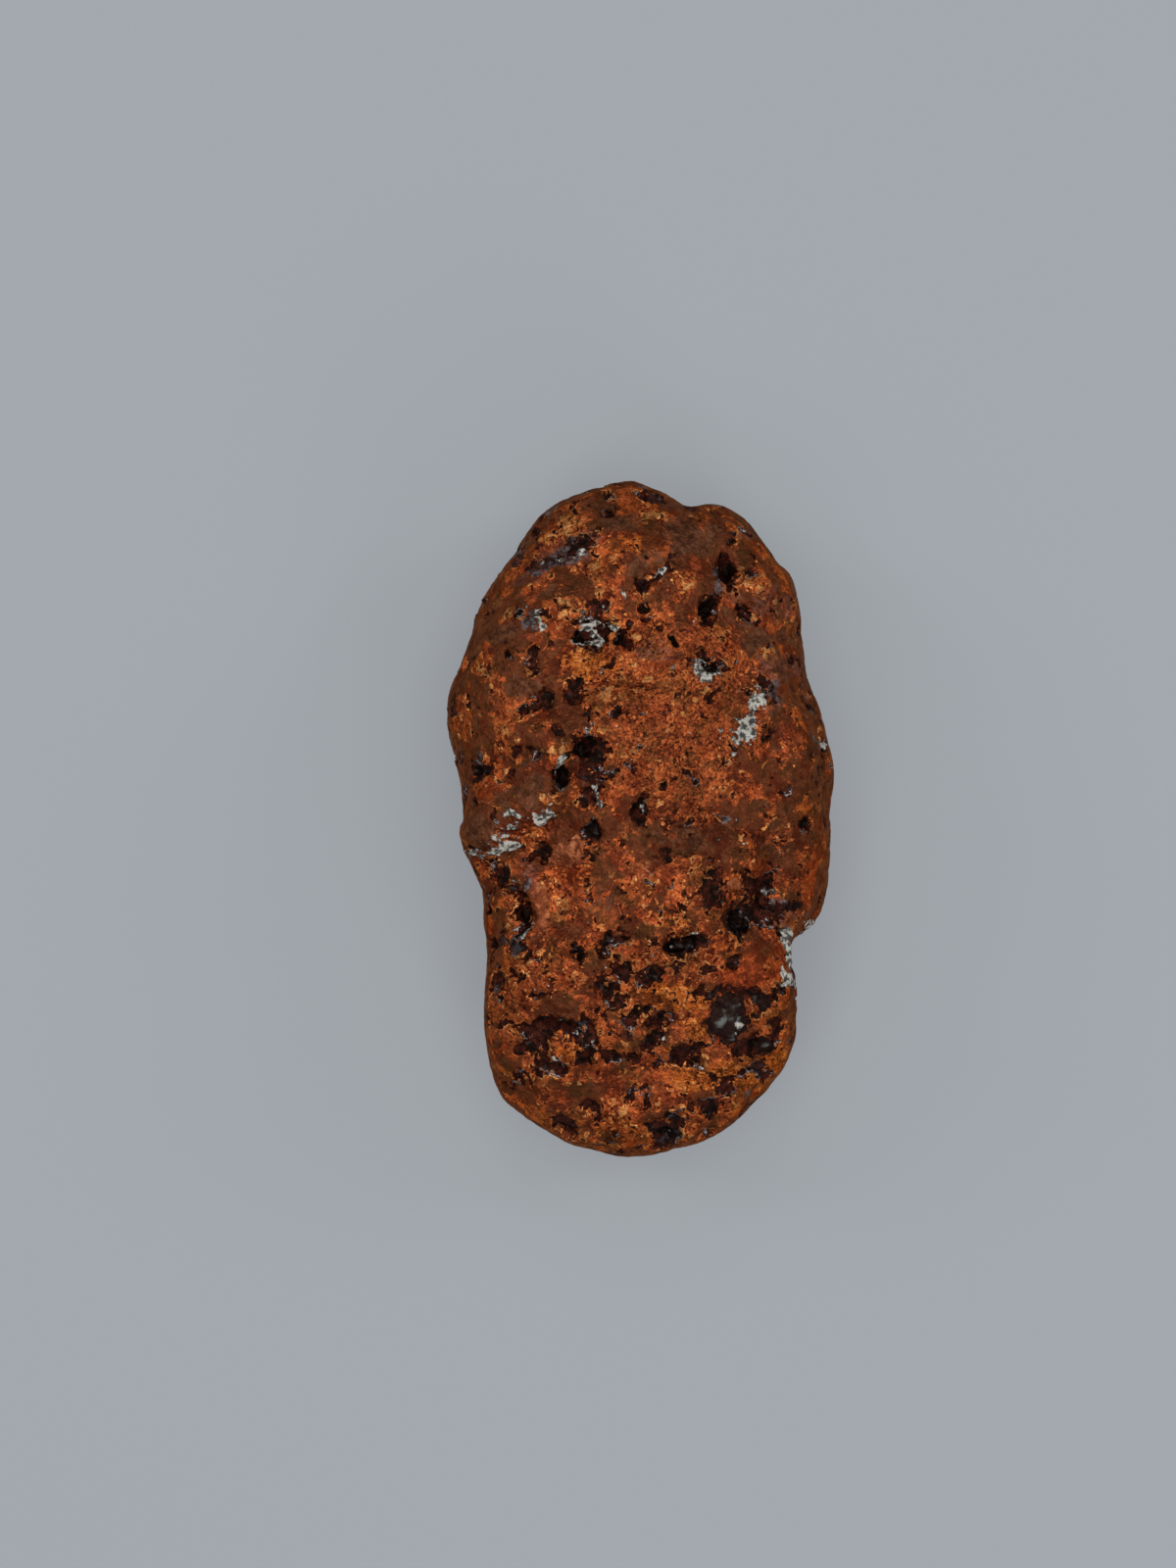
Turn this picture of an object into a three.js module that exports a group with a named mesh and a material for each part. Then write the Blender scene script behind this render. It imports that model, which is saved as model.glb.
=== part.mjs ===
/**
 * A native copper nugget: one water-worn lump of metal that lies on its broad side.
 *
 * Millimetres, +Z up. Y is the long way and Z the short way. The origin is on the resting face, under the
 * middle of the lump's box. The surface is a rounded body inside the outline, with broad swells and hollows,
 * folds with a raised lip, an undulation all over, and pits. It is worn flat where it rests.
 */
import * as THREE from "three";
import { mergeVertices } from "three/addons/utils/BufferGeometryUtils.js";

// Driving dimensions
const LENGTH = 50;
const WIDTH = 28.7;
const HEIGHT = 18;
const WIDEST_AT = 0.45; // share of the height at which the lump is widest
const WORN_FLAT = 0.8; // depth worn off the underside where it rests

// How square the section is: 1 is an ellipse, and a smaller number is squarer
const ROUNDNESS_ABOVE = 0.96;
const ROUNDNESS_BELOW = 0.9;

// Where the rim rises and dips round the lump: lobes on the way round, height, and the first lobe's azimuth
const RIM_LIFTS = [
  { lobes: 1, height: 1.1, azimuth: 165 },
  { lobes: 2, height: 0.8, azimuth: 35 },
  { lobes: 3, height: 0.6, azimuth: 75 },
  { lobes: 5, height: 0.3, azimuth: 20 },
];

// Cells of the surface along each way
const CELLS_X = 26;
const CELLS_Y = 44;
const CELLS_Z = 18;

// The outline seen from above, anticlockwise from the top end
const OUTLINE = [
  // upper left shoulder
  [-1.0, 25.0], [-4.0, 24.3], [-6.8, 22.8], [-9.1, 20.3], [-11.2, 17.6], [-12.5, 14.5],
  // left side
  [-13.3, 11.5], [-14.3, 8.3], [-14.4, 6.5], [-13.6, 3.0],
  // lip of the left fold, and the step below it
  [-12.9, 0.1], [-13.1, -0.8], [-12.8, -2.1], [-11.5, -5.2],
  // lower left side
  [-11.4, -8.3], [-11.2, -11.3], [-11.5, -16.0], [-10.7, -20.2],
  // foot
  [-9.3, -21.9], [-7.1, -23.1], [-4.7, -24.2], [-0.6, -25.0], [3.4, -24.4],
  // lower right side
  [7.5, -21.9], [11.0, -18.3], [11.9, -14.5], [11.8, -12.0],
  // notch of the right fold
  [11.5, -10.7], [11.7, -9.4], [13.1, -7.5], [13.9, -5.1],
  // right side
  [14.2, -2.1], [14.2, 1.3], [14.3, 3.3], [13.9, 5.6], [12.5, 10.2], [11.9, 14.0], [11.6, 16.0], [11.0, 18.0],
  // upper right lobe, and the saddle between it and the top end
  [9.9, 19.1], [7.8, 22.1], [6.4, 23.0], [5.0, 23.3], [3.6, 23.3], [2.5, 23.8], [0.8, 24.6],
];

// Swells and hollows on the upper side: middle, reach along and across, turn in degrees, and rise
const SWELLS_ABOVE = [
  { x: 1.9, y: 6.6, long: 8.5, wide: 5.8, turn: 100, rise: 0.9 }, // cushion in the middle of the upper half
  { x: -6.1, y: 14.2, long: 9.0, wide: 4.0, turn: 48, rise: 0.7 }, // shoulder at the upper left
  { x: -10.2, y: 7.0, long: 7.0, wide: 4.0, turn: 90, rise: 0.5 }, // left side
  { x: -10.8, y: 0.0, long: 3.2, wide: 2.2, turn: 20, rise: 0.7 }, // lip of the left fold
  { x: 8.8, y: 17.1, long: 5.0, wide: 3.5, turn: 110, rise: 0.5 }, // upper right lobe
  { x: 11.4, y: 3.3, long: 8.0, wide: 2.6, turn: 90, rise: 0.5 }, // right side
  { x: -1.0, y: -13.2, long: 8.0, wide: 8.0, turn: 0, rise: 0.4 }, // crown of the lower half
  { x: 8.8, y: -12.4, long: 4.0, wide: 3.4, turn: 90, rise: 0.6 }, // knob below the notch
  { x: -8.9, y: -8.6, long: 4.2, wide: 2.6, turn: 95, rise: 0.35 }, // left side of the lower half
  { x: 4.6, y: -1.0, long: 7.5, wide: 3.0, turn: -18, rise: -1.0 }, // saddle between the halves
  { x: -7.6, y: -3.6, long: 4.0, wide: 2.6, turn: 30, rise: -0.6 }, // hollow under the left fold
  { x: -3.9, y: 18.0, long: 5.5, wide: 1.9, turn: 28, rise: -0.45 }, // hollow at the upper left
  { x: 6.4, y: 14.4, long: 8.0, wide: 2.0, turn: 98, rise: -0.55 }, // groove beside the upper right lobe
  { x: -6.9, y: -15.4, long: 4.2, wide: 2.2, turn: 8, rise: -0.35 }, // hollow at the lower left
  { x: 6.8, y: -15.8, long: 3.6, wide: 3.0, turn: 0, rise: -0.35 }, // hollow at the lower right
];

// Swells and hollows of the sides and the underside: azimuth and elevation in degrees, reach and rise
const SWELLS_BELOW = [
  { azimuth: 95, elevation: -35, reach: 8, rise: 0.8 },
  { azimuth: -100, elevation: -30, reach: 7, rise: 0.7 },
  { azimuth: 15, elevation: -40, reach: 6, rise: 0.6 },
  { azimuth: 200, elevation: -45, reach: 6, rise: 0.5 },
  { azimuth: -35, elevation: -30, reach: 5, rise: -0.9 },
  { azimuth: 130, elevation: -28, reach: 5, rise: -0.7 },
  { azimuth: 235, elevation: -20, reach: 5, rise: -0.8 },
  { azimuth: 55, elevation: -55, reach: 6, rise: -0.5 },
];

// Folds: the lip is on the left of the path, and the path starts outside the outline
const FOLDS = [
  {
    // left fold: in from the left side, then up towards the middle
    path: [
      [-16.0, -3.4], [-12.5, -2.5], [-11.2, -2.3], [-9.7, -1.4],
      [-8.3, -0.3], [-6.6, 0.8], [-5.0, 2.0], [-3.9, 3.2],
    ],
    lip: 0.45, lipWidth: 1.7, depth: 0.95, width: 1.5,
  },
  {
    // right fold: in from the notch, then down along the knob
    path: [
      [10.9, -14.2], [10.7, -12.4], [10.6, -10.8], [10.9, -9.6],
      [12.2, -8.4], [14.6, -6.6], [17.0, -5.4],
    ],
    lip: 0.25, lipWidth: 1.4, depth: 0.95, width: 1.1,
  },
  {
    // small fold across the top end
    path: [[6.8, 24.6], [4.0, 23.1], [2.2, 22.9], [0.4, 23.3]],
    lip: 0.12, lipWidth: 1.0, depth: 0.35, width: 0.9,
  },
];
const FOLD_EDGE = 0.7; // half the width of the step between a fold's lip and its floor
const FOLD_TAPER = 0.3; // share of a fold's path over which each end fades out

// The undulation: waves of three lengths and their heights
const WAVES = [
  { length: 11, height: 0.32, count: 14, turn: 0.4 },
  { length: 5.4, height: 0.18, count: 18, turn: 1.9 },
  { length: 3.1, height: 0.09, count: 22, turn: 3.1 },
];

// Past this share of the outline's radius the surface nears the outline, and it never passes it
const NEARS_OUTLINE = 0.955;

// The larger pits of the upper side: middle, half length, half width, turn in degrees, and depth
const PITS_ABOVE = [
  { x: -3.5, y: 13.6, long: 1.6, wide: 1.3, turn: 20, depth: 0.7 },
  { x: -7.7, y: 15.0, long: 1.3, wide: 0.8, turn: -55, depth: 0.45 },
  { x: -5.8, y: 19.6, long: 2.1, wide: 1.0, turn: 28, depth: 0.5 },
  { x: 0.6, y: 17.7, long: 1.9, wide: 0.8, turn: 32, depth: 0.5 },
  { x: 6.0, y: 18.4, long: 1.4, wide: 1.1, turn: 50, depth: 0.75 },
  { x: 7.3, y: 15.4, long: 1.5, wide: 0.8, turn: -50, depth: 0.6 },
  { x: 4.6, y: 15.3, long: 1.6, wide: 1.2, turn: 70, depth: 0.6 },
  { x: 4.3, y: 10.9, long: 1.3, wide: 0.9, turn: -15, depth: 0.55 },
  { x: 8.0, y: 7.6, long: 2.2, wide: 1.0, turn: 68, depth: 0.6 },
  { x: -4.0, y: 5.3, long: 1.2, wide: 1.0, turn: 0, depth: 0.6 },
  { x: -5.6, y: 3.4, long: 1.3, wide: 1.0, turn: 40, depth: 0.55 },
  { x: -3.2, y: 2.0, long: 1.0, wide: 0.9, turn: 0, depth: 0.45 },
  { x: 0.1, y: 0.8, long: 1.1, wide: 0.9, turn: -35, depth: 0.5 },
  { x: 5.6, y: 0.2, long: 1.4, wide: 0.9, turn: -40, depth: 0.45 },
  { x: -5.2, y: -0.6, long: 1.0, wide: 0.8, turn: 70, depth: 0.5 },
  { x: -8.4, y: -6.7, long: 1.9, wide: 0.9, turn: -62, depth: 0.8 },
  { x: 2.8, y: -8.5, long: 1.8, wide: 1.0, turn: 20, depth: 0.8 },
  { x: 7.1, y: -6.7, long: 1.6, wide: 1.3, turn: -60, depth: 0.8 },
  { x: 9.4, y: -5.6, long: 1.4, wide: 1.1, turn: -20, depth: 0.5 },
  { x: -5.1, y: -9.2, long: 0.9, wide: 0.8, turn: 0, depth: 0.4 },
  { x: 6.1, y: -14.0, long: 1.7, wide: 1.5, turn: 90, depth: 0.45 },
  { x: 8.6, y: -16.6, long: 1.6, wide: 1.1, turn: 10, depth: 0.5 },
  { x: -6.2, y: -14.9, long: 2.3, wide: 1.1, turn: -5, depth: 0.45 },
  { x: -8.0, y: -17.2, long: 1.3, wide: 1.0, turn: 60, depth: 0.4 },
  { x: 4.4, y: -22.6, long: 1.5, wide: 1.0, turn: 20, depth: 0.5 },
  { x: -5.5, y: -22.3, long: 1.0, wide: 0.7, turn: -20, depth: 0.45 },
  { x: 1.9, y: -14.6, long: 1.3, wide: 1.0, turn: 30, depth: 0.4 },
];

// The pits of the sides and the underside, spread over the whole lump and left out above the elevation
const SCATTERED_PITS = { count: 130, highest: 0.42, smallest: 0.9, largest: 1.8, depth: 0.42 };

const GOLDEN_ANGLE = Math.PI * (3 - Math.sqrt(5));
const GOLDEN_SHARE = (Math.sqrt(5) - 1) / 2;
const HEIGHT_ABOVE = HEIGHT * (1 - WIDEST_AT);
const HEIGHT_BELOW = HEIGHT * WIDEST_AT;

const radians = (degrees) => (degrees * Math.PI) / 180;
const share = (value) => value - Math.floor(value);
const bell = (distance) => Math.exp(-distance * distance);
const bowl = (distance) => (distance < 1 ? (1 - distance * distance) ** 2 : 0);

// The outline's points as azimuths and radii, in order round the lump
const outline = OUTLINE.map(([x, y]) => ({ azimuth: Math.atan2(y, x), radius: Math.hypot(x, y) }));
outline.sort((a, b) => a.azimuth - b.azimuth);

/** One point of the outline, by its place in the list, going round past either end. */
function outlinePoint(index) {
  const turns = Math.floor(index / outline.length);
  const point = outline[index - turns * outline.length];
  return { azimuth: point.azimuth + turns * 2 * Math.PI, radius: point.radius };
}

/** The outline's radius at an azimuth: a cubic whose slope at each point comes from the two beside it. */
function outlineRadius(azimuth) {
  const wrapped = azimuth - 2 * Math.PI * Math.floor((azimuth - outline[0].azimuth) / (2 * Math.PI));
  let before = outline.length - 1;
  while (outline[before].azimuth > wrapped) before--;
  const [a, b, c, d] = [-1, 0, 1, 2].map((step) => outlinePoint(before + step));
  const span = c.azimuth - b.azimuth;
  const t = (wrapped - b.azimuth) / span;
  const slopeB = (span * (c.radius - a.radius)) / (c.azimuth - a.azimuth);
  const slopeC = (span * (d.radius - b.radius)) / (d.azimuth - b.azimuth);
  return (
    b.radius * (1 + 2 * t) * (1 - t) ** 2 + slopeB * t * (1 - t) ** 2 +
    c.radius * t * t * (3 - 2 * t) + slopeC * t * t * (t - 1)
  );
}

/** The outline with its small bends smoothed out, which shapes the levels above and below the widest one. */
function smoothRadius(azimuth) {
  const steps = [-24, -18, -12, -6, 0, 6, 12, 18, 24];
  const total = steps.reduce((sum, step) => sum + outlineRadius(azimuth + radians(step)), 0);
  return total / steps.length;
}

/** Radius of the level where the section's half width is the given share of its largest. */
function levelRadius(azimuth, level) {
  const smooth = smoothRadius(azimuth);
  return smooth + (outlineRadius(azimuth) - smooth) * level ** 3;
}

/** How far the rim is lifted at an azimuth. Nearer the middle, the surface moves less. */
function rimLift(azimuth, level) {
  const lift = RIM_LIFTS.reduce(
    (sum, wave) => sum + wave.height * Math.cos(wave.lobes * (azimuth - radians(wave.azimuth))),
    0,
  );
  return lift * level * level;
}

/** The plain rounded body's point in a direction of the unit sphere, and its outward normal there. */
function bodyAt(direction) {
  const above = direction.z >= 0;
  const roundness = above ? ROUNDNESS_ABOVE : ROUNDNESS_BELOW;
  const depth = above ? HEIGHT_ABOVE : HEIGHT_BELOW;
  const level = Math.min(1, Math.hypot(direction.x, direction.y));
  const lift = Math.abs(direction.z);
  const azimuth = Math.atan2((direction.y * LENGTH) / 2, (direction.x * WIDTH) / 2);
  const radius = levelRadius(azimuth, level) * level ** roundness;
  const side = Math.sign(direction.z);
  const tilt = level > 0 ? level ** (1 - roundness) : 0;
  return {
    point: new THREE.Vector3(
      radius * Math.cos(azimuth),
      radius * Math.sin(azimuth),
      side * depth * lift ** roundness + rimLift(azimuth, level),
    ),
    normal: new THREE.Vector3(
      (direction.x * tilt) / (WIDTH / 2),
      (direction.y * tilt) / (LENGTH / 2),
      (side * lift ** (2 - roundness)) / depth,
    ).normalize(),
  };
}

/** The point of the plain body's upper side above a place of the outline's plane. */
function bodyAbove(x, y) {
  const azimuth = Math.atan2(y, x);
  const away = Math.hypot(x, y);
  let level = 0.5;
  for (let pass = 0; pass < 6; pass++) {
    level = Math.min(1, (away / levelRadius(azimuth, level)) ** (1 / ROUNDNESS_ABOVE));
  }
  const lift = Math.sqrt(1 - level * level);
  return new THREE.Vector3(x, y, HEIGHT_ABOVE * lift ** ROUNDNESS_ABOVE + rimLift(azimuth, level));
}

/** The unit direction at an azimuth and an elevation, both in degrees. */
function directionAt(azimuth, elevation) {
  const across = Math.cos(radians(elevation));
  return new THREE.Vector3(
    across * Math.cos(radians(azimuth)),
    across * Math.sin(radians(azimuth)),
    Math.sin(radians(elevation)),
  );
}

/** The nth of several directions spread evenly over the sphere on a golden spiral. */
function spiralDirection(n, count, turn) {
  const z = 1 - (2 * (n + 0.5)) / count;
  const across = Math.sqrt(1 - z * z);
  const azimuth = n * GOLDEN_ANGLE + turn;
  return new THREE.Vector3(across * Math.cos(azimuth), across * Math.sin(azimuth), z);
}

/** Distance from a long mark's middle, 1 at its edge. A mark is longer along its turn than across it. */
function markDistance(point, mark) {
  const offset = point.clone().sub(mark.middle);
  const turn = radians(mark.turn);
  const along = offset.x * Math.cos(turn) + offset.y * Math.sin(turn);
  const across = offset.y * Math.cos(turn) - offset.x * Math.sin(turn);
  return Math.hypot(along / mark.long, across / mark.wide, offset.z / mark.wide);
}

/** Distance from a fold's path, positive on its lip's side, and the share of the path passed there. */
function foldPlace(point, path) {
  let best = { distance: Infinity, side: 1, passed: 0 };
  for (let i = 0; i + 1 < path.length; i++) {
    const [ax, ay] = path[i];
    const [bx, by] = path[i + 1];
    const length = Math.hypot(bx - ax, by - ay);
    const along = ((point.x - ax) * (bx - ax) + (point.y - ay) * (by - ay)) / length;
    const t = Math.min(1, Math.max(0, along / length));
    const distance = Math.hypot(point.x - ax - t * (bx - ax), point.y - ay - t * (by - ay));
    if (distance < best.distance) {
      const side = Math.sign((bx - ax) * (point.y - ay) - (by - ay) * (point.x - ax)) || 1;
      best = { distance, side, passed: (i + t) / (path.length - 1) };
    }
  }
  return { away: best.distance * best.side, passed: best.passed };
}

/** How far a fold raises its lip or sinks its floor at a point of the upper side. */
function foldRise(point, direction, fold) {
  const { away, passed } = foldPlace(point, fold.path);
  const onLip = THREE.MathUtils.smoothstep(away, -FOLD_EDGE, FOLD_EDGE);
  const fade = THREE.MathUtils.smoothstep(Math.min(passed, 1 - passed), 0, FOLD_TAPER);
  const upper = THREE.MathUtils.smoothstep(direction.z, -0.55, 0.05);
  const raised = fold.lip * bell(away / fold.lipWidth);
  const sunk = -fold.depth * bell(away / fold.width);
  return fade * upper * (onLip * raised + (1 - onLip) * sunk);
}

/** Height of the undulation at a point: plane waves that run along the directions of a golden spiral. */
function undulation(point) {
  let total = 0;
  for (const wave of WAVES) {
    let sum = 0;
    for (let i = 0; i < wave.count; i++) {
      const length = wave.length * (0.8 + 0.4 * share(i * GOLDEN_SHARE));
      const phase = 2 * Math.PI * share(i * GOLDEN_SHARE * GOLDEN_SHARE + wave.turn);
      const along = point.dot(spiralDirection(i, wave.count, wave.turn));
      sum += Math.sin((2 * Math.PI * along) / length + phase);
    }
    total += wave.height * sum * Math.sqrt(2 / wave.count);
  }
  return total;
}

/** The scattered pits: their middles lie on the plain body, and their sizes and depths vary. */
function scatteredPits() {
  const { count, highest, smallest, largest, depth } = SCATTERED_PITS;
  const pits = [];
  for (let i = 0; i < count; i++) {
    const direction = spiralDirection(i, count, 0);
    if (direction.z > highest) continue;
    const size = share(i * GOLDEN_SHARE);
    const reach = smallest + (largest - smallest) * size * size;
    const middle = bodyAt(direction).point;
    pits.push({ middle, long: reach, wide: reach, turn: 0, depth: depth * (0.5 + size) });
  }
  return pits;
}

const swells = [
  ...SWELLS_ABOVE.map((swell) => ({ ...swell, middle: bodyAbove(swell.x, swell.y) })),
  ...SWELLS_BELOW.map(({ azimuth, elevation, reach, rise }) => ({
    middle: bodyAt(directionAt(azimuth, elevation)).point, long: reach, wide: reach, turn: 0, rise,
  })),
];
const pits = [
  ...PITS_ABOVE.map((pit) => ({ ...pit, middle: bodyAbove(pit.x, pit.y) })),
  ...scatteredPits(),
];

/** Draws a point in so that it stays within the outline. */
function keepWithinOutline(point) {
  const away = Math.hypot(point.x, point.y) / outlineRadius(Math.atan2(point.y, point.x));
  if (away <= NEARS_OUTLINE) return point;
  const margin = 1 - NEARS_OUTLINE;
  const kept = 1 - margin * Math.exp((NEARS_OUTLINE - away) / margin);
  return point.set((point.x * kept) / away, (point.y * kept) / away, point.z);
}

/** The nugget's surface in a direction of the unit sphere. */
function surfaceAt(direction) {
  const { point, normal } = bodyAt(direction);
  let rise = undulation(point);
  for (const swell of swells) rise += swell.rise * bell(markDistance(point, swell));
  for (const fold of FOLDS) rise += foldRise(point, direction, fold);
  for (const pit of pits) rise -= pit.depth * bowl(markDistance(point, pit));
  return keepWithinOutline(point.addScaledVector(normal, rise));
}

/** The directions of a closed box grid, warped so that its cells are near even on the sphere. */
function directionGrid() {
  const box = new THREE.BoxGeometry(2, 2, 2, CELLS_X, CELLS_Y, CELLS_Z);
  box.deleteAttribute("normal");
  box.deleteAttribute("uv");
  return mergeVertices(box, 1e-4);
}

/** Moves and scales the surface to the driving dimensions, and wears it flat at the level it rests on. */
function fitToSize(geometry) {
  geometry.computeBoundingBox();
  const { min, max } = geometry.boundingBox;
  geometry.translate(-(min.x + max.x) / 2, -(min.y + max.y) / 2, -min.z);
  geometry.scale(WIDTH / (max.x - min.x), LENGTH / (max.y - min.y), (HEIGHT + WORN_FLAT) / (max.z - min.z));
  geometry.translate(0, 0, -WORN_FLAT);
  const position = geometry.getAttribute("position");
  for (let i = 0; i < position.count; i++) {
    position.setZ(i, Math.max(0, position.getZ(i)));
  }
}

/** The nugget's closed surface. */
function nuggetGeometry() {
  const geometry = directionGrid();
  const position = geometry.getAttribute("position");
  const place = new THREE.Vector3();
  for (let i = 0; i < position.count; i++) {
    place.fromBufferAttribute(position, i);
    const warped = place.toArray().map((value) => Math.tan((value * Math.PI) / 4));
    const at = surfaceAt(place.fromArray(warped).normalize());
    position.setXYZ(i, at.x, at.y, at.z);
  }
  fitToSize(geometry);
  geometry.computeVertexNormals();
  return geometry;
}

const tarnishedCopper = new THREE.MeshStandardMaterial({ color: 0x74402a, roughness: 0.45, metalness: 0.8 });

const nugget = new THREE.Mesh(nuggetGeometry(), tarnishedCopper);
nugget.name = "copper_nugget";

const group = new THREE.Group();
group.add(nugget);

export default group;
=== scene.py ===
"""A native copper nugget, dressed: a water-worn lump with skins of copper over dark oxide, films and crusts.

Lengths are in millimetres, until a mesh, a light or the camera is made in metres. +Z is up, Y is the long
way, and the origin is on the resting face, under the middle of the lump's box.
"""
import itertools
import logging
import math
from dataclasses import astuple, dataclass
from enum import Enum

import bpy
import numpy as np
from mathutils import Matrix, Vector


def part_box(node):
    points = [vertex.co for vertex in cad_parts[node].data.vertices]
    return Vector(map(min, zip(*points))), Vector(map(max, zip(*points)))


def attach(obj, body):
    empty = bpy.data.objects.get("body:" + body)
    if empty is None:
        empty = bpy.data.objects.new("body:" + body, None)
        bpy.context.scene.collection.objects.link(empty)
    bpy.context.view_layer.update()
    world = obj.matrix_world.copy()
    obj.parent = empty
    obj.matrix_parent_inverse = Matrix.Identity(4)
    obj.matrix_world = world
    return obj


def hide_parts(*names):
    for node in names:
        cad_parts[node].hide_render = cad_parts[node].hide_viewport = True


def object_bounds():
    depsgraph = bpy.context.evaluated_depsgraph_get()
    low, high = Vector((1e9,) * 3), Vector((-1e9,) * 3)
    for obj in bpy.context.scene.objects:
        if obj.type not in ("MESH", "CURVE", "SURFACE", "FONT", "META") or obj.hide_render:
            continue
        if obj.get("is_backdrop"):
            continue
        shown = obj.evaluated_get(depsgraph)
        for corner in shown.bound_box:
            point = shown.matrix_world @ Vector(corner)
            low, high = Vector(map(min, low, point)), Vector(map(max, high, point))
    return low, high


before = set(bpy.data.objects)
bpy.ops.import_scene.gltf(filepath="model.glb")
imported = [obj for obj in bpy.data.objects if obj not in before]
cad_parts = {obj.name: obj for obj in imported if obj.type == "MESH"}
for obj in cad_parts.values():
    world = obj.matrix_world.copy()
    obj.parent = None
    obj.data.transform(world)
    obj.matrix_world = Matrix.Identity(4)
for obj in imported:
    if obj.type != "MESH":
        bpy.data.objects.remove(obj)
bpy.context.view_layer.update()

log = logging.getLogger("nugget")

Array = np.ndarray
Place = tuple[float, float]
Tint = tuple[int, int, int]

MILLIMETRE = 0.001
NODE = "copper_nugget"
BODY = "root"
BOX_LOW, BOX_HIGH = (np.array(corner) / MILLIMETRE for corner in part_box(NODE))
WIDTH, LENGTH, HEIGHT = BOX_HIGH - BOX_LOW
GOLDEN_ANGLE = math.pi * (3 - math.sqrt(5))
GOLDEN_SHARE = (math.sqrt(5) - 1) / 2
LATTICE_TURN = np.array(Matrix.Rotation(GOLDEN_ANGLE, 3, Vector((2, 1, 2))))


def smooth_step(low: float, high: float, value: Array) -> Array:
    """A smooth rise from 0 at low to 1 at high, or a fall where high is below low.

    Args:
        low: Value where the step starts.
        high: Value where the step is complete.
        value: Where to read the step.

    Returns:
        3t² − 2t³, where t is how far value has come from low to high, kept between 0 and 1.
    """
    t = np.clip((value - low) / (high - low), 0, 1)
    return t * t * (3 - 2 * t)


def bell(distance: Array) -> Array:
    """A bell curve, 1 in the middle: e to the power −distance²."""
    return np.exp(-distance * distance)


def bowl(distance: Array) -> Array:
    """A bowl that ends level with its edge at distance 1: (1 − distance²)²."""
    return np.clip(1 - distance * distance, 0, None) ** 2


def blend(share: Array, first: Array | float, second: Array | float) -> Array:
    """The first value where share is 0 and the second where it is 1."""
    return first + (second - first) * share


def path_distance(x: Array, y: Array, path: tuple[Place, ...]) -> tuple[Array, Array]:
    """Distance of each point from a path in the plan, and the share of the path passed there.

    On each stretch the nearest place is the point's projection, kept between the stretch's ends. The nearest
    stretch counts, and the sign says on which side of it the point lies.

    Args:
        x: The points' places across.
        y: The points' places along.
        path: Corners of the path, in order.

    Returns:
        The distances, positive on the left of the path, and the shares of its stretches passed.
    """
    nearest = np.full(x.shape, np.inf)
    signed = np.zeros(x.shape)
    passed = np.zeros(x.shape)
    for index, ((ax, ay), (bx, by)) in enumerate(itertools.pairwise(path)):
        dx, dy = bx - ax, by - ay
        t = np.clip(((x - ax) * dx + (y - ay) * dy) / (dx * dx + dy * dy), 0, 1)
        distance = np.hypot(x - ax - t * dx, y - ay - t * dy)
        side = np.where(dx * (y - ay) - dy * (x - ax) < 0, -1, 1)
        closer = distance < nearest
        nearest = np.where(closer, distance, nearest)
        signed = np.where(closer, distance * side, signed)
        passed = np.where(closer, (index + t) / (len(path) - 1), passed)
    return signed, passed


# The nugget's smooth form


@dataclass(frozen=True)
class Swell:
    """A swell of the upper side, or a hollow if its rise is negative: middle, reach, turn in degrees."""

    x: float
    y: float
    long: float
    wide: float
    turn: float
    rise: float


@dataclass(frozen=True)
class FlankSwell:
    """A swell or hollow of the sides and the underside: azimuth and elevation in degrees, reach and rise."""

    azimuth: float
    elevation: float
    reach: float
    rise: float


@dataclass(frozen=True)
class Fold:
    """A fold: its path with the lip on the left, the lip's height and width, the floor's depth and width."""

    path: tuple[Place, ...]
    lip: float
    lip_width: float
    depth: float
    width: float


@dataclass(frozen=True)
class Waves:
    """Plane waves of about one length: length, height, count, and the turn of the spiral they run along."""

    length: float
    height: float
    count: int
    turn: float


@dataclass(frozen=True)
class RimLift:
    """A wave of the rim's rise and dip round the lump: its lobes, height, and the first lobe's azimuth."""

    lobes: int
    height: float
    azimuth: float


@dataclass(frozen=True)
class ScatteredPits:
    """The pits of the sides and the underside: count, highest place on the unit sphere, size and depth."""

    count: int = 130
    highest: float = 0.42
    smallest: float = 0.9
    largest: float = 1.8
    depth: float = 0.42


OUTLINE: tuple[Place, ...] = (
    # upper left shoulder, from the top end
    (-1.0, 25.0), (-4.0, 24.3), (-6.8, 22.8), (-9.1, 20.3), (-11.2, 17.6), (-12.5, 14.5),
    # left side
    (-13.3, 11.5), (-14.3, 8.3), (-14.4, 6.5), (-13.6, 3.0),
    # lip of the left fold, and the step below it
    (-12.9, 0.1), (-13.1, -0.8), (-12.8, -2.1), (-11.5, -5.2),
    # lower left side
    (-11.4, -8.3), (-11.2, -11.3), (-11.5, -16.0), (-10.7, -20.2),
    # foot
    (-9.3, -21.9), (-7.1, -23.1), (-4.7, -24.2), (-0.6, -25.0), (3.4, -24.4),
    # lower right side
    (7.5, -21.9), (11.0, -18.3), (11.9, -14.5), (11.8, -12.0),
    # notch of the right fold
    (11.5, -10.7), (11.7, -9.4), (13.1, -7.5), (13.9, -5.1),
    # right side
    (14.2, -2.1), (14.2, 1.3), (14.3, 3.3), (13.9, 5.6), (12.5, 10.2), (11.9, 14.0), (11.6, 16.0),
    (11.0, 18.0),
    # upper right lobe, and the saddle between it and the top end
    (9.9, 19.1), (7.8, 22.1), (6.4, 23.0), (5.0, 23.3), (3.6, 23.3), (2.5, 23.8), (0.8, 24.6),
)

RIM_LIFTS = (RimLift(1, 1.1, 165), RimLift(2, 0.8, 35), RimLift(3, 0.6, 75), RimLift(5, 0.3, 20))

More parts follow.
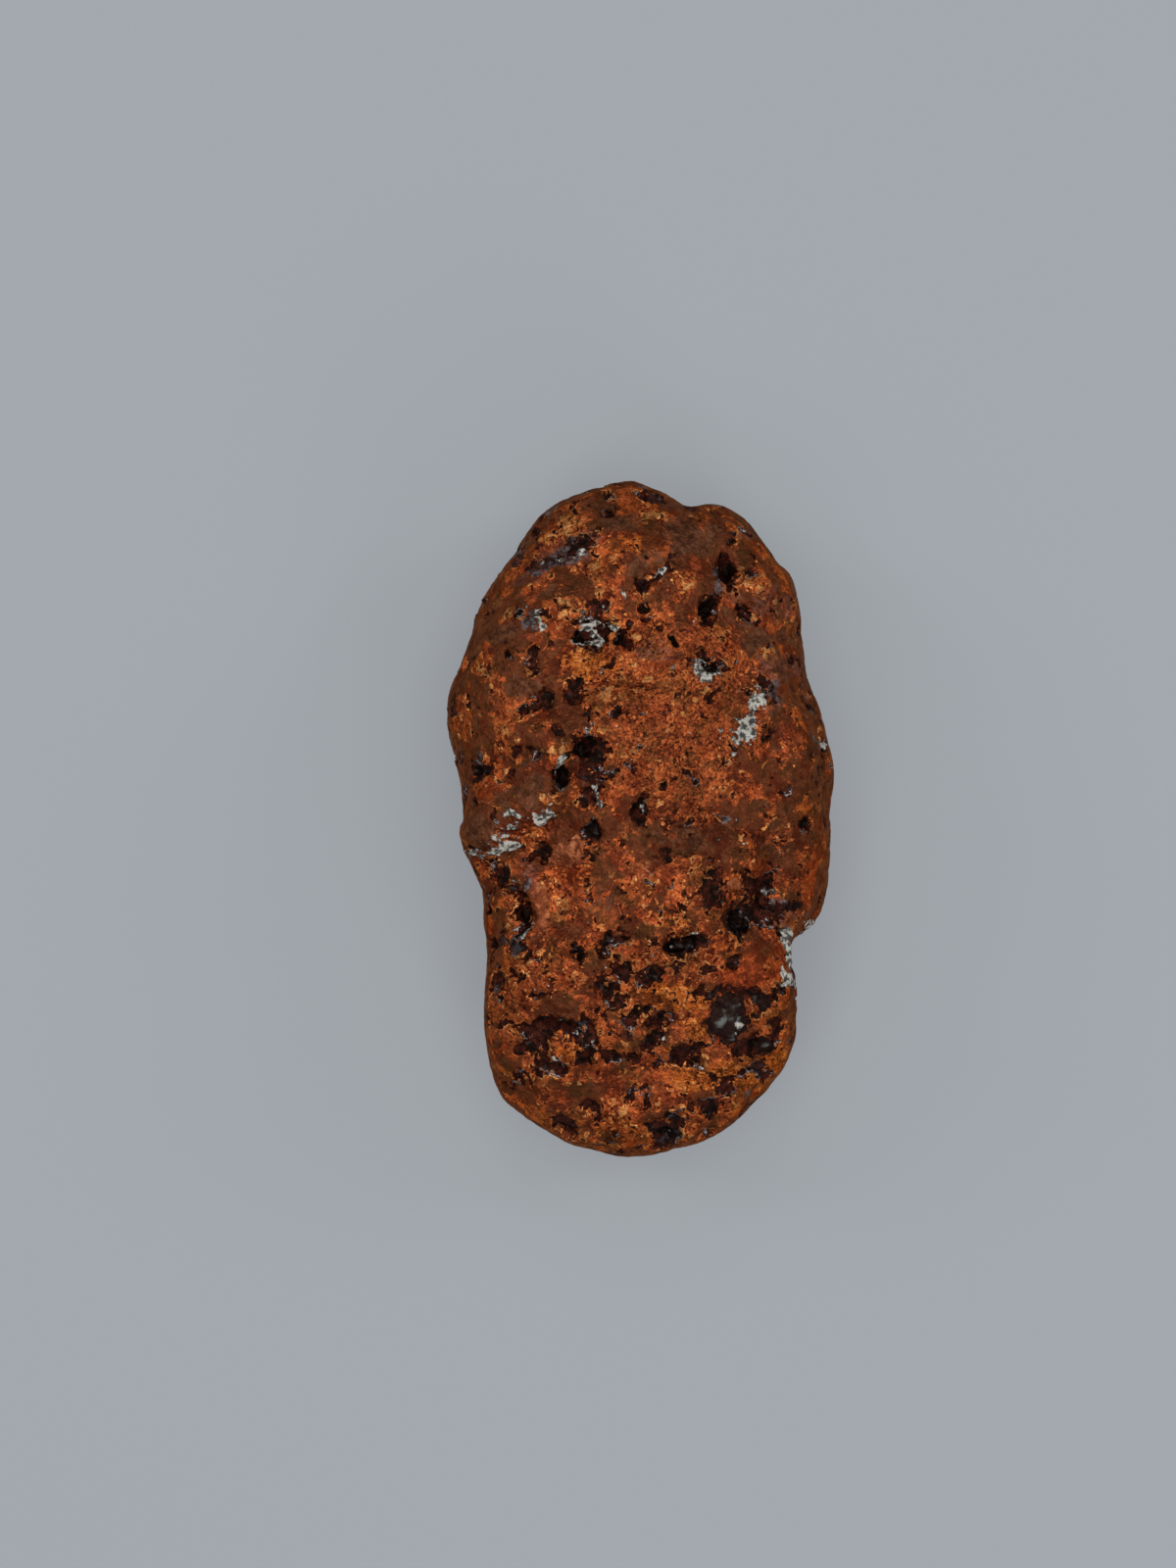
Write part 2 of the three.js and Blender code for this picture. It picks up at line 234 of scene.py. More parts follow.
SWELLS = (
    Swell(1.9, 6.6, 8.5, 5.8, 100, 0.9),  # cushion in the middle of the upper half
    Swell(-6.1, 14.2, 9.0, 4.0, 48, 0.7),  # shoulder at the upper left
    Swell(-10.2, 7.0, 7.0, 4.0, 90, 0.5),  # left side
    Swell(-10.8, 0.0, 3.2, 2.2, 20, 0.7),  # lip of the left fold
    Swell(8.8, 17.1, 5.0, 3.5, 110, 0.5),  # upper right lobe
    Swell(11.4, 3.3, 8.0, 2.6, 90, 0.5),  # right side
    Swell(-1.0, -13.2, 8.0, 8.0, 0, 0.4),  # crown of the lower half
    Swell(8.8, -12.4, 4.0, 3.4, 90, 0.6),  # knob below the notch
    Swell(-8.9, -8.6, 4.2, 2.6, 95, 0.35),  # left side of the lower half
    Swell(4.6, -1.0, 7.5, 3.0, -18, -1.0),  # saddle between the halves
    Swell(-7.6, -3.6, 4.0, 2.6, 30, -0.6),  # hollow under the left fold
    Swell(-3.9, 18.0, 5.5, 1.9, 28, -0.45),  # hollow at the upper left
    Swell(6.4, 14.4, 8.0, 2.0, 98, -0.55),  # groove beside the upper right lobe
    Swell(-6.9, -15.4, 4.2, 2.2, 8, -0.35),  # hollow at the lower left
    Swell(6.8, -15.8, 3.6, 3.0, 0, -0.35),  # hollow at the lower right
)

FLANK_SWELLS = (
    FlankSwell(95, -35, 8, 0.8), FlankSwell(-100, -30, 7, 0.7), FlankSwell(15, -40, 6, 0.6),
    FlankSwell(200, -45, 6, 0.5), FlankSwell(-35, -30, 5, -0.9), FlankSwell(130, -28, 5, -0.7),
    FlankSwell(235, -20, 5, -0.8), FlankSwell(55, -55, 6, -0.5),
)

LEFT_FOLD = Fold(
    # in from the left side, then up towards the middle
    path=(
        (-16.0, -3.4), (-12.5, -2.5), (-11.2, -2.3), (-9.7, -1.4), (-8.3, -0.3), (-6.6, 0.8), (-5.0, 2.0),
        (-3.9, 3.2),
    ),
    lip=0.45, lip_width=1.7, depth=0.95, width=1.5,
)
RIGHT_FOLD = Fold(
    # in from the notch, then down along the knob
    path=(
        (10.9, -14.2), (10.7, -12.4), (10.6, -10.8), (10.9, -9.6), (12.2, -8.4), (14.6, -6.6), (17.0, -5.4),
    ),
    lip=0.25, lip_width=1.4, depth=0.95, width=1.1,
)
TOP_FOLD = Fold(
    path=((6.8, 24.6), (4.0, 23.1), (2.2, 22.9), (0.4, 23.3)),
    lip=0.12, lip_width=1.0, depth=0.35, width=0.9,
)

WAVES = (Waves(11, 0.32, 14, 0.4), Waves(5.4, 0.18, 18, 1.9), Waves(3.1, 0.09, 22, 3.1))

# The larger pits of the upper side, as hollows: middle, half length, half width, turn and depth
PITS = (
    Swell(-3.5, 13.6, 1.6, 1.3, 20, 0.7), Swell(-7.7, 15.0, 1.3, 0.8, -55, 0.45),
    Swell(-5.8, 19.6, 2.1, 1.0, 28, 0.5), Swell(0.6, 17.7, 1.9, 0.8, 32, 0.5),
    Swell(6.0, 18.4, 1.4, 1.1, 50, 0.75), Swell(7.3, 15.4, 1.5, 0.8, -50, 0.6),
    Swell(4.6, 15.3, 1.6, 1.2, 70, 0.6), Swell(4.3, 10.9, 1.3, 0.9, -15, 0.55),
    Swell(8.0, 7.6, 2.2, 1.0, 68, 0.6), Swell(-4.0, 5.3, 1.2, 1.0, 0, 0.6),
    Swell(-5.6, 3.4, 1.3, 1.0, 40, 0.55), Swell(-3.2, 2.0, 1.0, 0.9, 0, 0.45),
    Swell(0.1, 0.8, 1.1, 0.9, -35, 0.5), Swell(5.6, 0.2, 1.4, 0.9, -40, 0.45),
    Swell(-5.2, -0.6, 1.0, 0.8, 70, 0.5), Swell(-8.4, -6.7, 1.9, 0.9, -62, 0.8),
    Swell(2.8, -8.5, 1.8, 1.0, 20, 0.8), Swell(7.1, -6.7, 1.6, 1.3, -60, 0.8),
    Swell(9.4, -5.6, 1.4, 1.1, -20, 0.5), Swell(-5.1, -9.2, 0.9, 0.8, 0, 0.4),
    Swell(6.1, -14.0, 1.7, 1.5, 90, 0.45), Swell(8.6, -16.6, 1.6, 1.1, 10, 0.5),
    Swell(-6.2, -14.9, 2.3, 1.1, -5, 0.45), Swell(-8.0, -17.2, 1.3, 1.0, 60, 0.4),
    Swell(4.4, -22.6, 1.5, 1.0, 20, 0.5), Swell(-5.5, -22.3, 1.0, 0.7, -20, 0.45),
    Swell(1.9, -14.6, 1.3, 1.0, 30, 0.4),
)


@dataclass(frozen=True)
class Mounds:
    """Swells or pits as arrays: middles in space, half lengths and widths, turns, and heights or depths."""

    middle: Array
    long: Array
    wide: Array
    turn: Array
    height: Array

    def distance(self, points: Array, index: int) -> Array:
        """Distance of the points from one mound's middle, 1 at its edge. Depth counts as width does."""
        offset = points - self.middle[index]
        turn = math.radians(self.turn[index])
        along = offset[:, 0] * math.cos(turn) + offset[:, 1] * math.sin(turn)
        across = offset[:, 1] * math.cos(turn) - offset[:, 0] * math.sin(turn)
        wide = self.wide[index]
        return np.sqrt((along / self.long[index]) ** 2 + (across / wide) ** 2 + (offset[:, 2] / wide) ** 2)


@dataclass(frozen=True)
class LumpForm:
    """The nugget's smooth form: a rounded body inside the outline, with swells, folds, waves and pits."""

    widest_at: float = 0.45
    worn_flat: float = 0.8
    roundness_above: float = 0.96
    roundness_below: float = 0.9
    smoothing: tuple[int, ...] = (-24, -18, -12, -6, 0, 6, 12, 18, 24)
    fold_edge: float = 0.7
    fold_taper: float = 0.3
    nears_outline: float = 0.955
    level_passes: int = 6
    scattered: ScatteredPits = ScatteredPits()

    def outline_radius(self, azimuth: Array) -> Array:
        """Radius of the outline: a cubic between its points, whose slope at each comes from its neighbours.

        Args:
            azimuth: Azimuths in radians.

        Returns:
            The outline's radius at each azimuth.
        """
        x, y = np.array(OUTLINE).T
        order = np.argsort(np.arctan2(y, x))
        turns = np.pad(np.arctan2(y, x)[order], (1, 2), mode="wrap")
        turns[0] -= 2 * np.pi
        turns[-2:] += 2 * np.pi
        radii = np.pad(np.hypot(x, y)[order], (1, 2), mode="wrap")
        wrapped = turns[1] + np.mod(azimuth - turns[1], 2 * np.pi)
        before = np.clip(np.searchsorted(turns, wrapped, side="right") - 1, 1, len(OUTLINE))
        span = turns[before + 1] - turns[before]
        t = (wrapped - turns[before]) / span
        slopes = np.zeros(len(turns))
        slopes[1:-1] = (radii[2:] - radii[:-2]) / (turns[2:] - turns[:-2])
        rise, fall = slopes[before] * span, slopes[before + 1] * span
        return (
            radii[before] * (1 + 2 * t) * (1 - t) ** 2 + rise * t * (1 - t) ** 2
            + radii[before + 1] * t * t * (3 - 2 * t) + fall * t * t * (t - 1)
        )

    def level_radius(self, azimuth: Array, level: Array) -> Array:
        """Radius where the half width is the given share of its largest: small bends fade with level³."""
        turned = [self.outline_radius(azimuth + math.radians(step)) for step in self.smoothing]
        smooth = np.mean(turned, axis=0)
        return smooth + (self.outline_radius(azimuth) - smooth) * level**3

    def rim_lift(self, azimuth: Array, level: Array) -> Array:
        """How far the rim is lifted: a sum of cosines round the lump, times level² so the middle stays."""
        lift = np.zeros(len(azimuth))
        for wave in RIM_LIFTS:
            lift += wave.height * np.cos(wave.lobes * (azimuth - math.radians(wave.azimuth)))
        return lift * level**2

    def body_at(self, direction: Array) -> tuple[Array, Array]:
        """The plain rounded body in directions of the unit sphere.

        The section is a superellipse: half width ∝ level^roundness and height ∝ |z|^roundness, where level
        is the direction's horizontal length. The normal is the gradient of the same superellipse.

        Args:
            direction: Unit directions, one row each.

        Returns:
            The points and the outward normals.
        """
        x, y, z = direction.T
        above = z >= 0
        roundness = np.where(above, self.roundness_above, self.roundness_below)
        depth = HEIGHT * np.where(above, 1 - self.widest_at, self.widest_at)
        level = np.clip(np.hypot(x, y), 1e-9, 1)
        azimuth = np.arctan2(y * LENGTH / 2, x * WIDTH / 2)
        radius = self.level_radius(azimuth, level) * level**roundness
        rise = np.sign(z) * depth * np.abs(z) ** roundness + self.rim_lift(azimuth, level)
        point = np.stack([radius * np.cos(azimuth), radius * np.sin(azimuth), rise], axis=1)
        tilt = level ** (1 - roundness)
        slope = np.sign(z) * np.abs(z) ** (2 - roundness) / depth
        normal = np.stack([x * tilt / (WIDTH / 2), y * tilt / (LENGTH / 2), slope], axis=1)
        return point, normal / np.linalg.norm(normal, axis=1, keepdims=True)

    def body_above(self, x: Array, y: Array) -> Array:
        """Points of the plain body's upper side above places of the plan. A few passes find the level."""
        azimuth, away = np.arctan2(y, x), np.hypot(x, y)
        level = np.full(len(x), 0.5)
        for _ in range(self.level_passes):
            level = np.clip((away / self.level_radius(azimuth, level)) ** (1 / self.roundness_above), 0, 1)
        lift = np.sqrt(1 - level**2) ** self.roundness_above
        height = HEIGHT * (1 - self.widest_at) * lift + self.rim_lift(azimuth, level)
        return np.stack([x, y, height], axis=1)

    def mounds_above(self, swells: tuple[Swell, ...]) -> Mounds:
        """Swells or pits of the upper side, on the plain body."""
        x, y, long, wide, turn, rise = np.array([astuple(swell) for swell in swells], float).T
        return Mounds(self.body_above(x, y), long, wide, turn, rise)

    def flank_mounds(self) -> Mounds:
        """The swells of the sides and the underside, which are round, on the plain body."""
        azimuth, elevation, reach, rise = np.array([astuple(swell) for swell in FLANK_SWELLS], float).T
        azimuth, elevation = np.radians(azimuth), np.radians(elevation)
        across = np.cos(elevation)
        direction = np.stack([across * np.cos(azimuth), across * np.sin(azimuth), np.sin(elevation)], axis=1)
        return Mounds(self.body_at(direction)[0], reach, reach, np.zeros(len(reach)), rise)

    def pit_mounds(self) -> Mounds:
        """The scattered pits, which are round: a golden spiral of middles, with sizes that vary along it."""
        scattered = self.scattered
        direction = spiral_directions(scattered.count, 0)
        size = np.mod(np.arange(scattered.count) * GOLDEN_SHARE, 1)
        low = direction[:, 2] <= scattered.highest
        direction, size = direction[low], size[low]
        reach = blend(size**2, scattered.smallest, scattered.largest)
        depth = scattered.depth * (0.5 + size)
        return Mounds(self.body_at(direction)[0], reach, reach, np.zeros(len(reach)), depth)

    def fold_rise(self, points: Array, direction: Array, fold: Fold) -> Array:
        """How far a fold raises its lip or sinks its floor.

        Both are bell curves of the distance from the path, blended by a smooth step across it. The fold
        fades out at the path's ends and on the underside.

        Args:
            points: Points of the plain body.
            direction: Their directions of the unit sphere.
            fold: The fold.

        Returns:
            The rise along the normal.
        """
        away, passed = path_distance(points[:, 0], points[:, 1], fold.path)
        on_lip = smooth_step(-self.fold_edge, self.fold_edge, away)
        fade = smooth_step(0, self.fold_taper, np.minimum(passed, 1 - passed))
        upper = smooth_step(-0.55, 0.05, direction[:, 2])
        raised = fold.lip * bell(away / fold.lip_width)
        sunk = -fold.depth * bell(away / fold.width)
        return fade * upper * blend(on_lip, sunk, raised)

    def undulation(self, points: Array) -> Array:
        """Height of the undulation: a sum of plane sine waves that run along golden spirals' directions."""
        total = np.zeros(len(points))
        for waves in WAVES:
            index = np.arange(waves.count)
            length = waves.length * (0.8 + 0.4 * np.mod(index * GOLDEN_SHARE, 1))
            phase = 2 * np.pi * np.mod(index * GOLDEN_SHARE**2 + waves.turn, 1)
            along = points @ spiral_directions(waves.count, waves.turn).T
            height = waves.height * math.sqrt(2 / waves.count)
            total += height * np.sin(2 * np.pi * along / length + phase).sum(axis=1)
        return total

    def keep_within_outline(self, points: Array) -> Array:
        """Draws points in: past a share of the outline's radius, they near the outline ever more slowly."""
        x, y = points[:, 0], points[:, 1]
        away = np.hypot(x, y) / self.outline_radius(np.arctan2(y, x))
        margin = 1 - self.nears_outline
        kept = 1 - margin * np.exp(np.clip(self.nears_outline - away, None, 0) / margin)
        drawn = np.where(away > self.nears_outline, kept / np.maximum(away, 1e-9), 1)
        return points * np.stack([drawn, drawn, np.ones(len(drawn))], axis=1)

    def surface_at(self, direction: Array) -> Array:
        """The nugget's smooth surface: the body moved along its normal by the sum of all rises, then fitted.

        Args:
            direction: Unit directions, one row each.

        Returns:
            The surface's points.
        """
        points, normal = self.body_at(direction)
        rise = self.undulation(points)
        for mounds in (self.mounds_above(SWELLS), self.flank_mounds()):
            rise += sum(height * bell(mounds.distance(points, i)) for i, height in enumerate(mounds.height))
        rise += sum(self.fold_rise(points, direction, fold) for fold in (LEFT_FOLD, RIGHT_FOLD, TOP_FOLD))
        for pits in (self.mounds_above(PITS), self.pit_mounds()):
            rise -= sum(depth * bowl(pits.distance(points, i)) for i, depth in enumerate(pits.height))
        return fit_to_box(self.keep_within_outline(points + normal * rise[:, None]), self.worn_flat)


def spiral_directions(count: int, turn: float) -> Array:
    """Unit directions spread evenly over the sphere on a golden spiral, which starts at the given turn."""
    index = np.arange(count)
    z = 1 - 2 * (index + 0.5) / count
    across = np.sqrt(1 - z * z)
    azimuth = index * GOLDEN_ANGLE + turn
    return np.stack([across * np.cos(azimuth), across * np.sin(azimuth), z], axis=1)


def fit_to_box(points: Array, worn: float) -> Array:
    """Scales points to the frame's box, and wears them flat at the level the nugget rests on.

    Args:
        points: Points of a closed surface.
        worn: Depth worn off the underside.

    Returns:
        The points, which fill the box exactly.
    """
    low, high = points.min(axis=0), points.max(axis=0)
    floor = BOX_LOW - np.array([0, 0, worn])
    fitted = floor + (points - low) * (BOX_HIGH - floor) / (high - low)
    fitted[:, 2] = np.maximum(fitted[:, 2], BOX_LOW[2])
    return fitted


# Noise


class LatticeNoise:
    """Smooth noise, between about −1 and 1, from random slopes at the corners of a lattice of unit cubes."""

    TABLE = 512
    GAIN = 1.7  # brings the sum of the corners near −1 to 1

    def __init__(self, seed: int) -> None:
        """Draws the order of the lattice's cells and their slopes."""
        random = np.random.default_rng(seed)
        self.order = random.permutation(self.TABLE)
        slopes = random.normal(size=(self.TABLE, 3))
        self.slopes = slopes / np.linalg.norm(slopes, axis=1, keepdims=True)

    def keys(self, cell: Array) -> Array:
        """A random place in the tables for each cell of the lattice."""
        key = self.order[cell[:, 0] % self.TABLE]
        key = self.order[(key + cell[:, 1]) % self.TABLE]
        return self.order[(key + cell[:, 2]) % self.TABLE]

    def at(self, points: Array) -> Array:
        """One layer of the noise.

        Each corner of a point's cube gives its slope times the way from the corner. The eight are blended by
        6t⁵ − 15t⁴ + 10t³ along each axis.

        Args:
            points: Where to read the noise, in cubes of the lattice.

        Returns:
            The noise at each point.
        """
        cell = np.floor(points).astype(int)
        inside = points - cell
        share = inside**3 * (inside * (inside * 6 - 15) + 10)
        total = np.zeros(len(points))
        for corner in itertools.product((0, 1), repeat=3):
            step = np.array(corner)
            weight = np.where(step, share, 1 - share).prod(axis=1)
            total += weight * ((inside - step) * self.slopes[self.keys(cell + step)]).sum(axis=1)
        return total * self.GAIN

    def layered(self, points: Array, size: float, layers: int = 4, falloff: float = 0.5) -> Array:
        """A sum of layers, each half the size of the one before, less high, and on a turned lattice.

        Args:
            points: Where to read the noise, in millimetres.
            size: Size of the largest layer's cubes, in millimetres.
            layers: How many layers.
            falloff: Height of each layer against the one before.

        Returns:
            The sum, divided by the sum of the heights.
        """
        heights = [falloff**layer for layer in range(layers)]
        total = np.zeros(len(points))
        place = points / size
        for layer, height in enumerate(heights):
            place = place @ LATTICE_TURN
            total += height * self.at(place * 2**layer + 7.3 * layer)
        return total / sum(heights)

    def shifts(self, points: Array, size: float, layers: int = 2) -> Array:
        """Three layered noises side by side, to shift points with."""
        starts = (0.0, 31.7, 67.1)
        return np.stack([self.layered(points + start, size, layers) for start in starts], axis=1)


@dataclass(frozen=True)
class NoiseKind:
    """A kind of layered noise: where it is read, the size of its largest cubes, its layers and falloff."""

    start: float
    size: float
    layers: int = 2
    falloff: float = 0.5


BROAD_NOISE = NoiseKind(120, 2.4, 3, 0.6)
RAGGED_NOISE = NoiseKind(150, 1.4, 4, 0.66)
FILM_NOISE = NoiseKind(170, 2.0, 4, 0.62)
FLECK_NOISE = NoiseKind(190, 0.9, 3, 0.65)
CURL_NOISE = NoiseKind(200, 0.55)
GRAIN_NOISE = NoiseKind(230, 0.42, 2, 0.6)
WEAR_NOISE = NoiseKind(250, 3.4)
RIM_NOISE = NoiseKind(300, 2.6, 3)


# What lies where on the surface


class Zone(Enum):
    """What covers a place of the surface, apart from plain copper skin."""

    GAP = "gap"  # the copper skin is missing, and dark oxide shows
    HOLE = "hole"  # a deep hole, black with dark oxide and painted shade
    BRIGHT = "bright"  # skin worn to bright metal
    PATINA = "patina"  # smooth olive-brown patina
    MATTE = "matte"  # brown film with a fine grain
    TAN = "tan"  # smooth tan metal
    RED = "red"  # smooth orange-red metal
    GOLD = "gold"  # golden metal
    VIOLET = "violet"  # dusty violet bloom
    SLATE = "slate"  # grey sheen
    SHADE = "shade"  # painted shade: a darker brown in broad patches above, such as the saddle below the cushion, and strewn on the sides
    CRUST = "crust"  # pale mineral crust
    GLASS = "glass"  # dark glassy mineral


@dataclass(frozen=True)
class Patch:
    """A long patch of the upper side: middle, half length, half width, strength, and turn in degrees."""

    x: float
    y: float
    long: float
    wide: float
    strength: float = 1
    turn: float = 0

    def cover(self, points: Array) -> Array:
        """How far the patch covers points: full up to 0.4 of its size, and gone at 1.8 times its size."""
        turn = math.radians(self.turn)
        x, y = points[:, 0] - self.x, points[:, 1] - self.y
        along = x * math.cos(turn) + y * math.sin(turn)
        across = y * math.cos(turn) - x * math.sin(turn)
        return self.strength * smooth_step(1.8, 0.4, np.hypot(along / self.long, across / self.wide))


@dataclass(frozen=True)
class Strip:
    """A narrow patch of the upper side along a path, given by its half width."""

    path: tuple[Place, ...]
    width: float
    strength: float = 1

    def cover(self, points: Array) -> Array:
        """How far the strip covers points: full up to half its width, and gone at half as much again."""
        away, _ = path_distance(points[:, 0], points[:, 1], self.path)
        return self.strength * smooth_step(1.5, 0.5, np.abs(away) / self.width)


def patches(*rows: tuple[float, ...]) -> tuple[Patch, ...]:
    """Patches from rows that give their values in order."""
    return tuple(Patch(*row) for row in rows)


# The patches of the upper side, whose places and sizes were read off the photograph

GAPS = patches(
    # top end and upper left shoulder
    (1.1, 23.8, 0.7, 0.4, 0.8, -20), (-2.4, 22.6, 0.7, 0.4, 0.7, 20), (-7.7, 20.9, 0.4, 0.6, 0.8),
    (-4.6, 20.3, 0.7, 0.4, 0.5, 30), (-6.1, 19.2, 0.9, 0.3, 0.4, 15), (0.9, 17.9, 1.1, 0.4, 1, 28),
    (0.0, 17.4, 0.4, 0.3, 0.8),
    # upper right lobe
    (6.1, 18.4, 1.0, 0.7, 1, -65), (7.9, 17.9, 0.5, 0.4, 0.8), (4.7, 15.6, 1.0, 0.7, 1, 60),
    (4.3, 14.6, 0.6, 0.4, 0.8), (7.4, 15.2, 1.0, 0.4, 1, -38), (9.0, 12.6, 0.4, 0.3, 0.6),
    (4.5, 12.0, 0.6, 0.5, 0.8), (5.0, 11.1, 0.7, 0.5), (6.0, 11.2, 0.4, 0.4, 0.8),
    # upper left, down to the left side
    (-3.3, 15.5, 0.7, 0.5, 0.8), (-3.5, 13.6, 1.2, 1.1), (-1.6, 13.1, 0.7, 0.7, 0.9),
    (0.3, 15.1, 0.4, 0.6, 0.6), (-8.0, 11.9, 0.4, 1.0, 0.7), (-8.3, 10.4, 0.6, 0.4, 0.6),
    (-7.0, 9.4, 0.4, 0.7, 0.7), (-4.8, 9.4, 0.7, 0.9, 0.8), (-8.5, 8.2, 0.7, 0.4, 0.6),
    (-3.9, 7.5, 0.4, 1.2, 0.7), (-6.4, 6.6, 0.6, 0.4, 0.5), (-14.0, 7.9, 0.3, 0.4, 0.7),
    (-13.9, 4.8, 0.4, 0.4, 0.8), (-11.8, 3.7, 0.4, 0.9, 0.8),
    # middle, beside the cushion
    (-3.8, 5.3, 1.2, 0.7, 0.7), (-3.3, 3.5, 1.1, 0.8, 0.65), (-5.9, 3.3, 0.6, 0.8),
    (-3.5, 1.7, 0.9, 0.9, 0.75), (-0.1, 0.8, 0.7, 0.7, 0.9), (4.8, 8.9, 0.4, 0.6, 0.6),
    (8.8, 9.7, 0.5, 0.7, 0.7), (6.4, 5.6, 0.7, 0.2, 0.75, -70), (12.0, -0.2, 0.4, 0.4, 0.8),
    (13.3, 3.7, 0.3, 0.6, 0.5), (-3.6, -0.6, 0.7, 0.5, 1, -75), (-6.9, -2.2, 0.7, 0.6, 0.9),
    # under the left fold
    (-10.3, -3.8, 1.0, 0.5, 0.8, -60), (-9.4, -5.1, 0.7, 0.5, 0.8, -50), (-8.6, -6.5, 1.0, 0.4, 1, -60),
    (-8.3, -7.4, 0.4, 0.6), (-8.9, -8.0, 0.4, 0.4, 0.8), (-9.7, -9.1, 1.2, 0.5, 0.8),
    (-8.2, -9.8, 0.6, 0.4, 0.5), (-9.1, -10.7, 0.7, 0.4, 0.5), (-10.4, -12.3, 0.5, 0.7, 0.5),
    # below the middle
    (-4.8, -9.4, 0.4, 0.6), (-2.7, -8.6, 0.6, 0.4, 0.8), (-1.8, -8.7, 0.7, 0.3, 0.7),
    (-2.4, -9.8, 0.6, 0.4, 0.8), (-1.3, -10.9, 0.6, 0.7, 0.8), (2.9, -8.9, 1.2, 0.7, 1, 10),
    (0.3, -11.1, 1.3, 0.6, 0.8, 5), (3.4, -3.2, 0.9, 0.6, 0.5),
    # round the right fold
    (6.9, -7.2, 0.9, 1.2), (5.3, -5.1, 1.0, 1.3, 0.7), (8.5, -4.7, 1.2, 1.0, 0.75),
    (8.8, -6.9, 1.2, 0.9, 0.75), (10.2, -7.5, 0.6, 0.9, 0.7), (6.4, -10.2, 0.7, 0.5, 0.6),
    (4.8, -12.4, 1.2, 0.4, 0.8), (7.6, -12.3, 1.5, 0.4, 0.8), (9.9, -12.3, 0.6, 0.4, 0.7),
    # lower half
    (-2.4, -12.9, 1.0, 0.8, 0.6), (0.1, -13.7, 1.0, 0.5, 0.9), (1.3, -14.4, 0.9, 0.6, 0.9),
    (8.6, -13.4, 1.0, 0.7, 0.65), (9.9, -14.5, 0.7, 1.0, 0.6), (8.6, -16.5, 1.5, 0.7, 0.9),
    (8.6, -18.2, 1.0, 0.6, 0.8), (5.9, -19.8, 0.7, 0.7, 0.7), (1.0, -16.3, 1.2, 1.0, 0.5),
    (3.2, -17.1, 1.1, 1.1, 0.85), (-1.3, -17.2, 1.3, 0.5, 0.8), (-1.0, -14.9, 0.4, 0.9, 0.6),
    (-6.8, -14.9, 1.8, 0.7, 0.9), (-4.2, -15.3, 0.8, 1.0), (-8.0, -16.3, 0.9, 0.8, 0.7),
    (-6.8, -18.0, 1.2, 0.7, 0.9), (-4.1, -17.1, 0.6, 0.7, 0.7), (-8.8, -18.7, 0.6, 0.4, 0.6),
    (-7.5, -12.6, 0.7, 0.4, 0.5),
    # foot
    (-4.0, -20.6, 0.4, 0.4, 0.7), (-5.6, -22.3, 0.8, 0.6, 0.9, -15), (2.1, -22.9, 1.2, 1.1, 0.9),
    (-0.3, -24.1, 0.6, 0.3, 0.6), (5.0, -20.9, 1.5, 0.6, 0.6, 10), (0.0, -20.3, 1.0, 0.6, 0.5),
    (-10.1, -20.2, 0.4, 0.3, 0.6),
)
HOLES = patches(
    (6.1, 18.3, 0.7, 0.4, 0.8, -65), (4.8, 15.4, 0.6, 0.4, 0.8, 60), (7.7, 14.9, 0.5, 0.2, 0.8, -38),
    (-1.6, 13.1, 0.4, 0.4, 0.6), (-4.6, 13.6, 0.4, 0.4, 0.8), (-2.7, 13.4, 0.2, 0.2, 0.9),
    (-9.9, 12.2, 0.2, 0.2, 0.9), (2.3, 13.1, 0.4, 0.3, 0.7), (5.1, 11.0, 0.4, 0.3, 0.8),
    (-4.3, 5.3, 0.4, 0.4), (-5.9, 3.2, 0.4, 0.6, 0.8), (-11.8, 3.6, 0.2, 0.5, 0.7),
    (-3.6, -0.6, 0.6, 0.4, 1, -75), (12.0, -0.2, 0.3, 0.3, 0.8), (-8.5, -6.7, 0.7, 0.25, 0.9, -60),
    (-4.8, -9.5, 0.3, 0.4, 0.9), (2.9, -9.0, 1.0, 0.4, 1, 10), (7.0, -7.3, 0.7, 0.8),
    (2.1, -23.1, 0.6, 0.4, 0.6), (8.6, -16.6, 0.7, 0.4, 0.6),
)
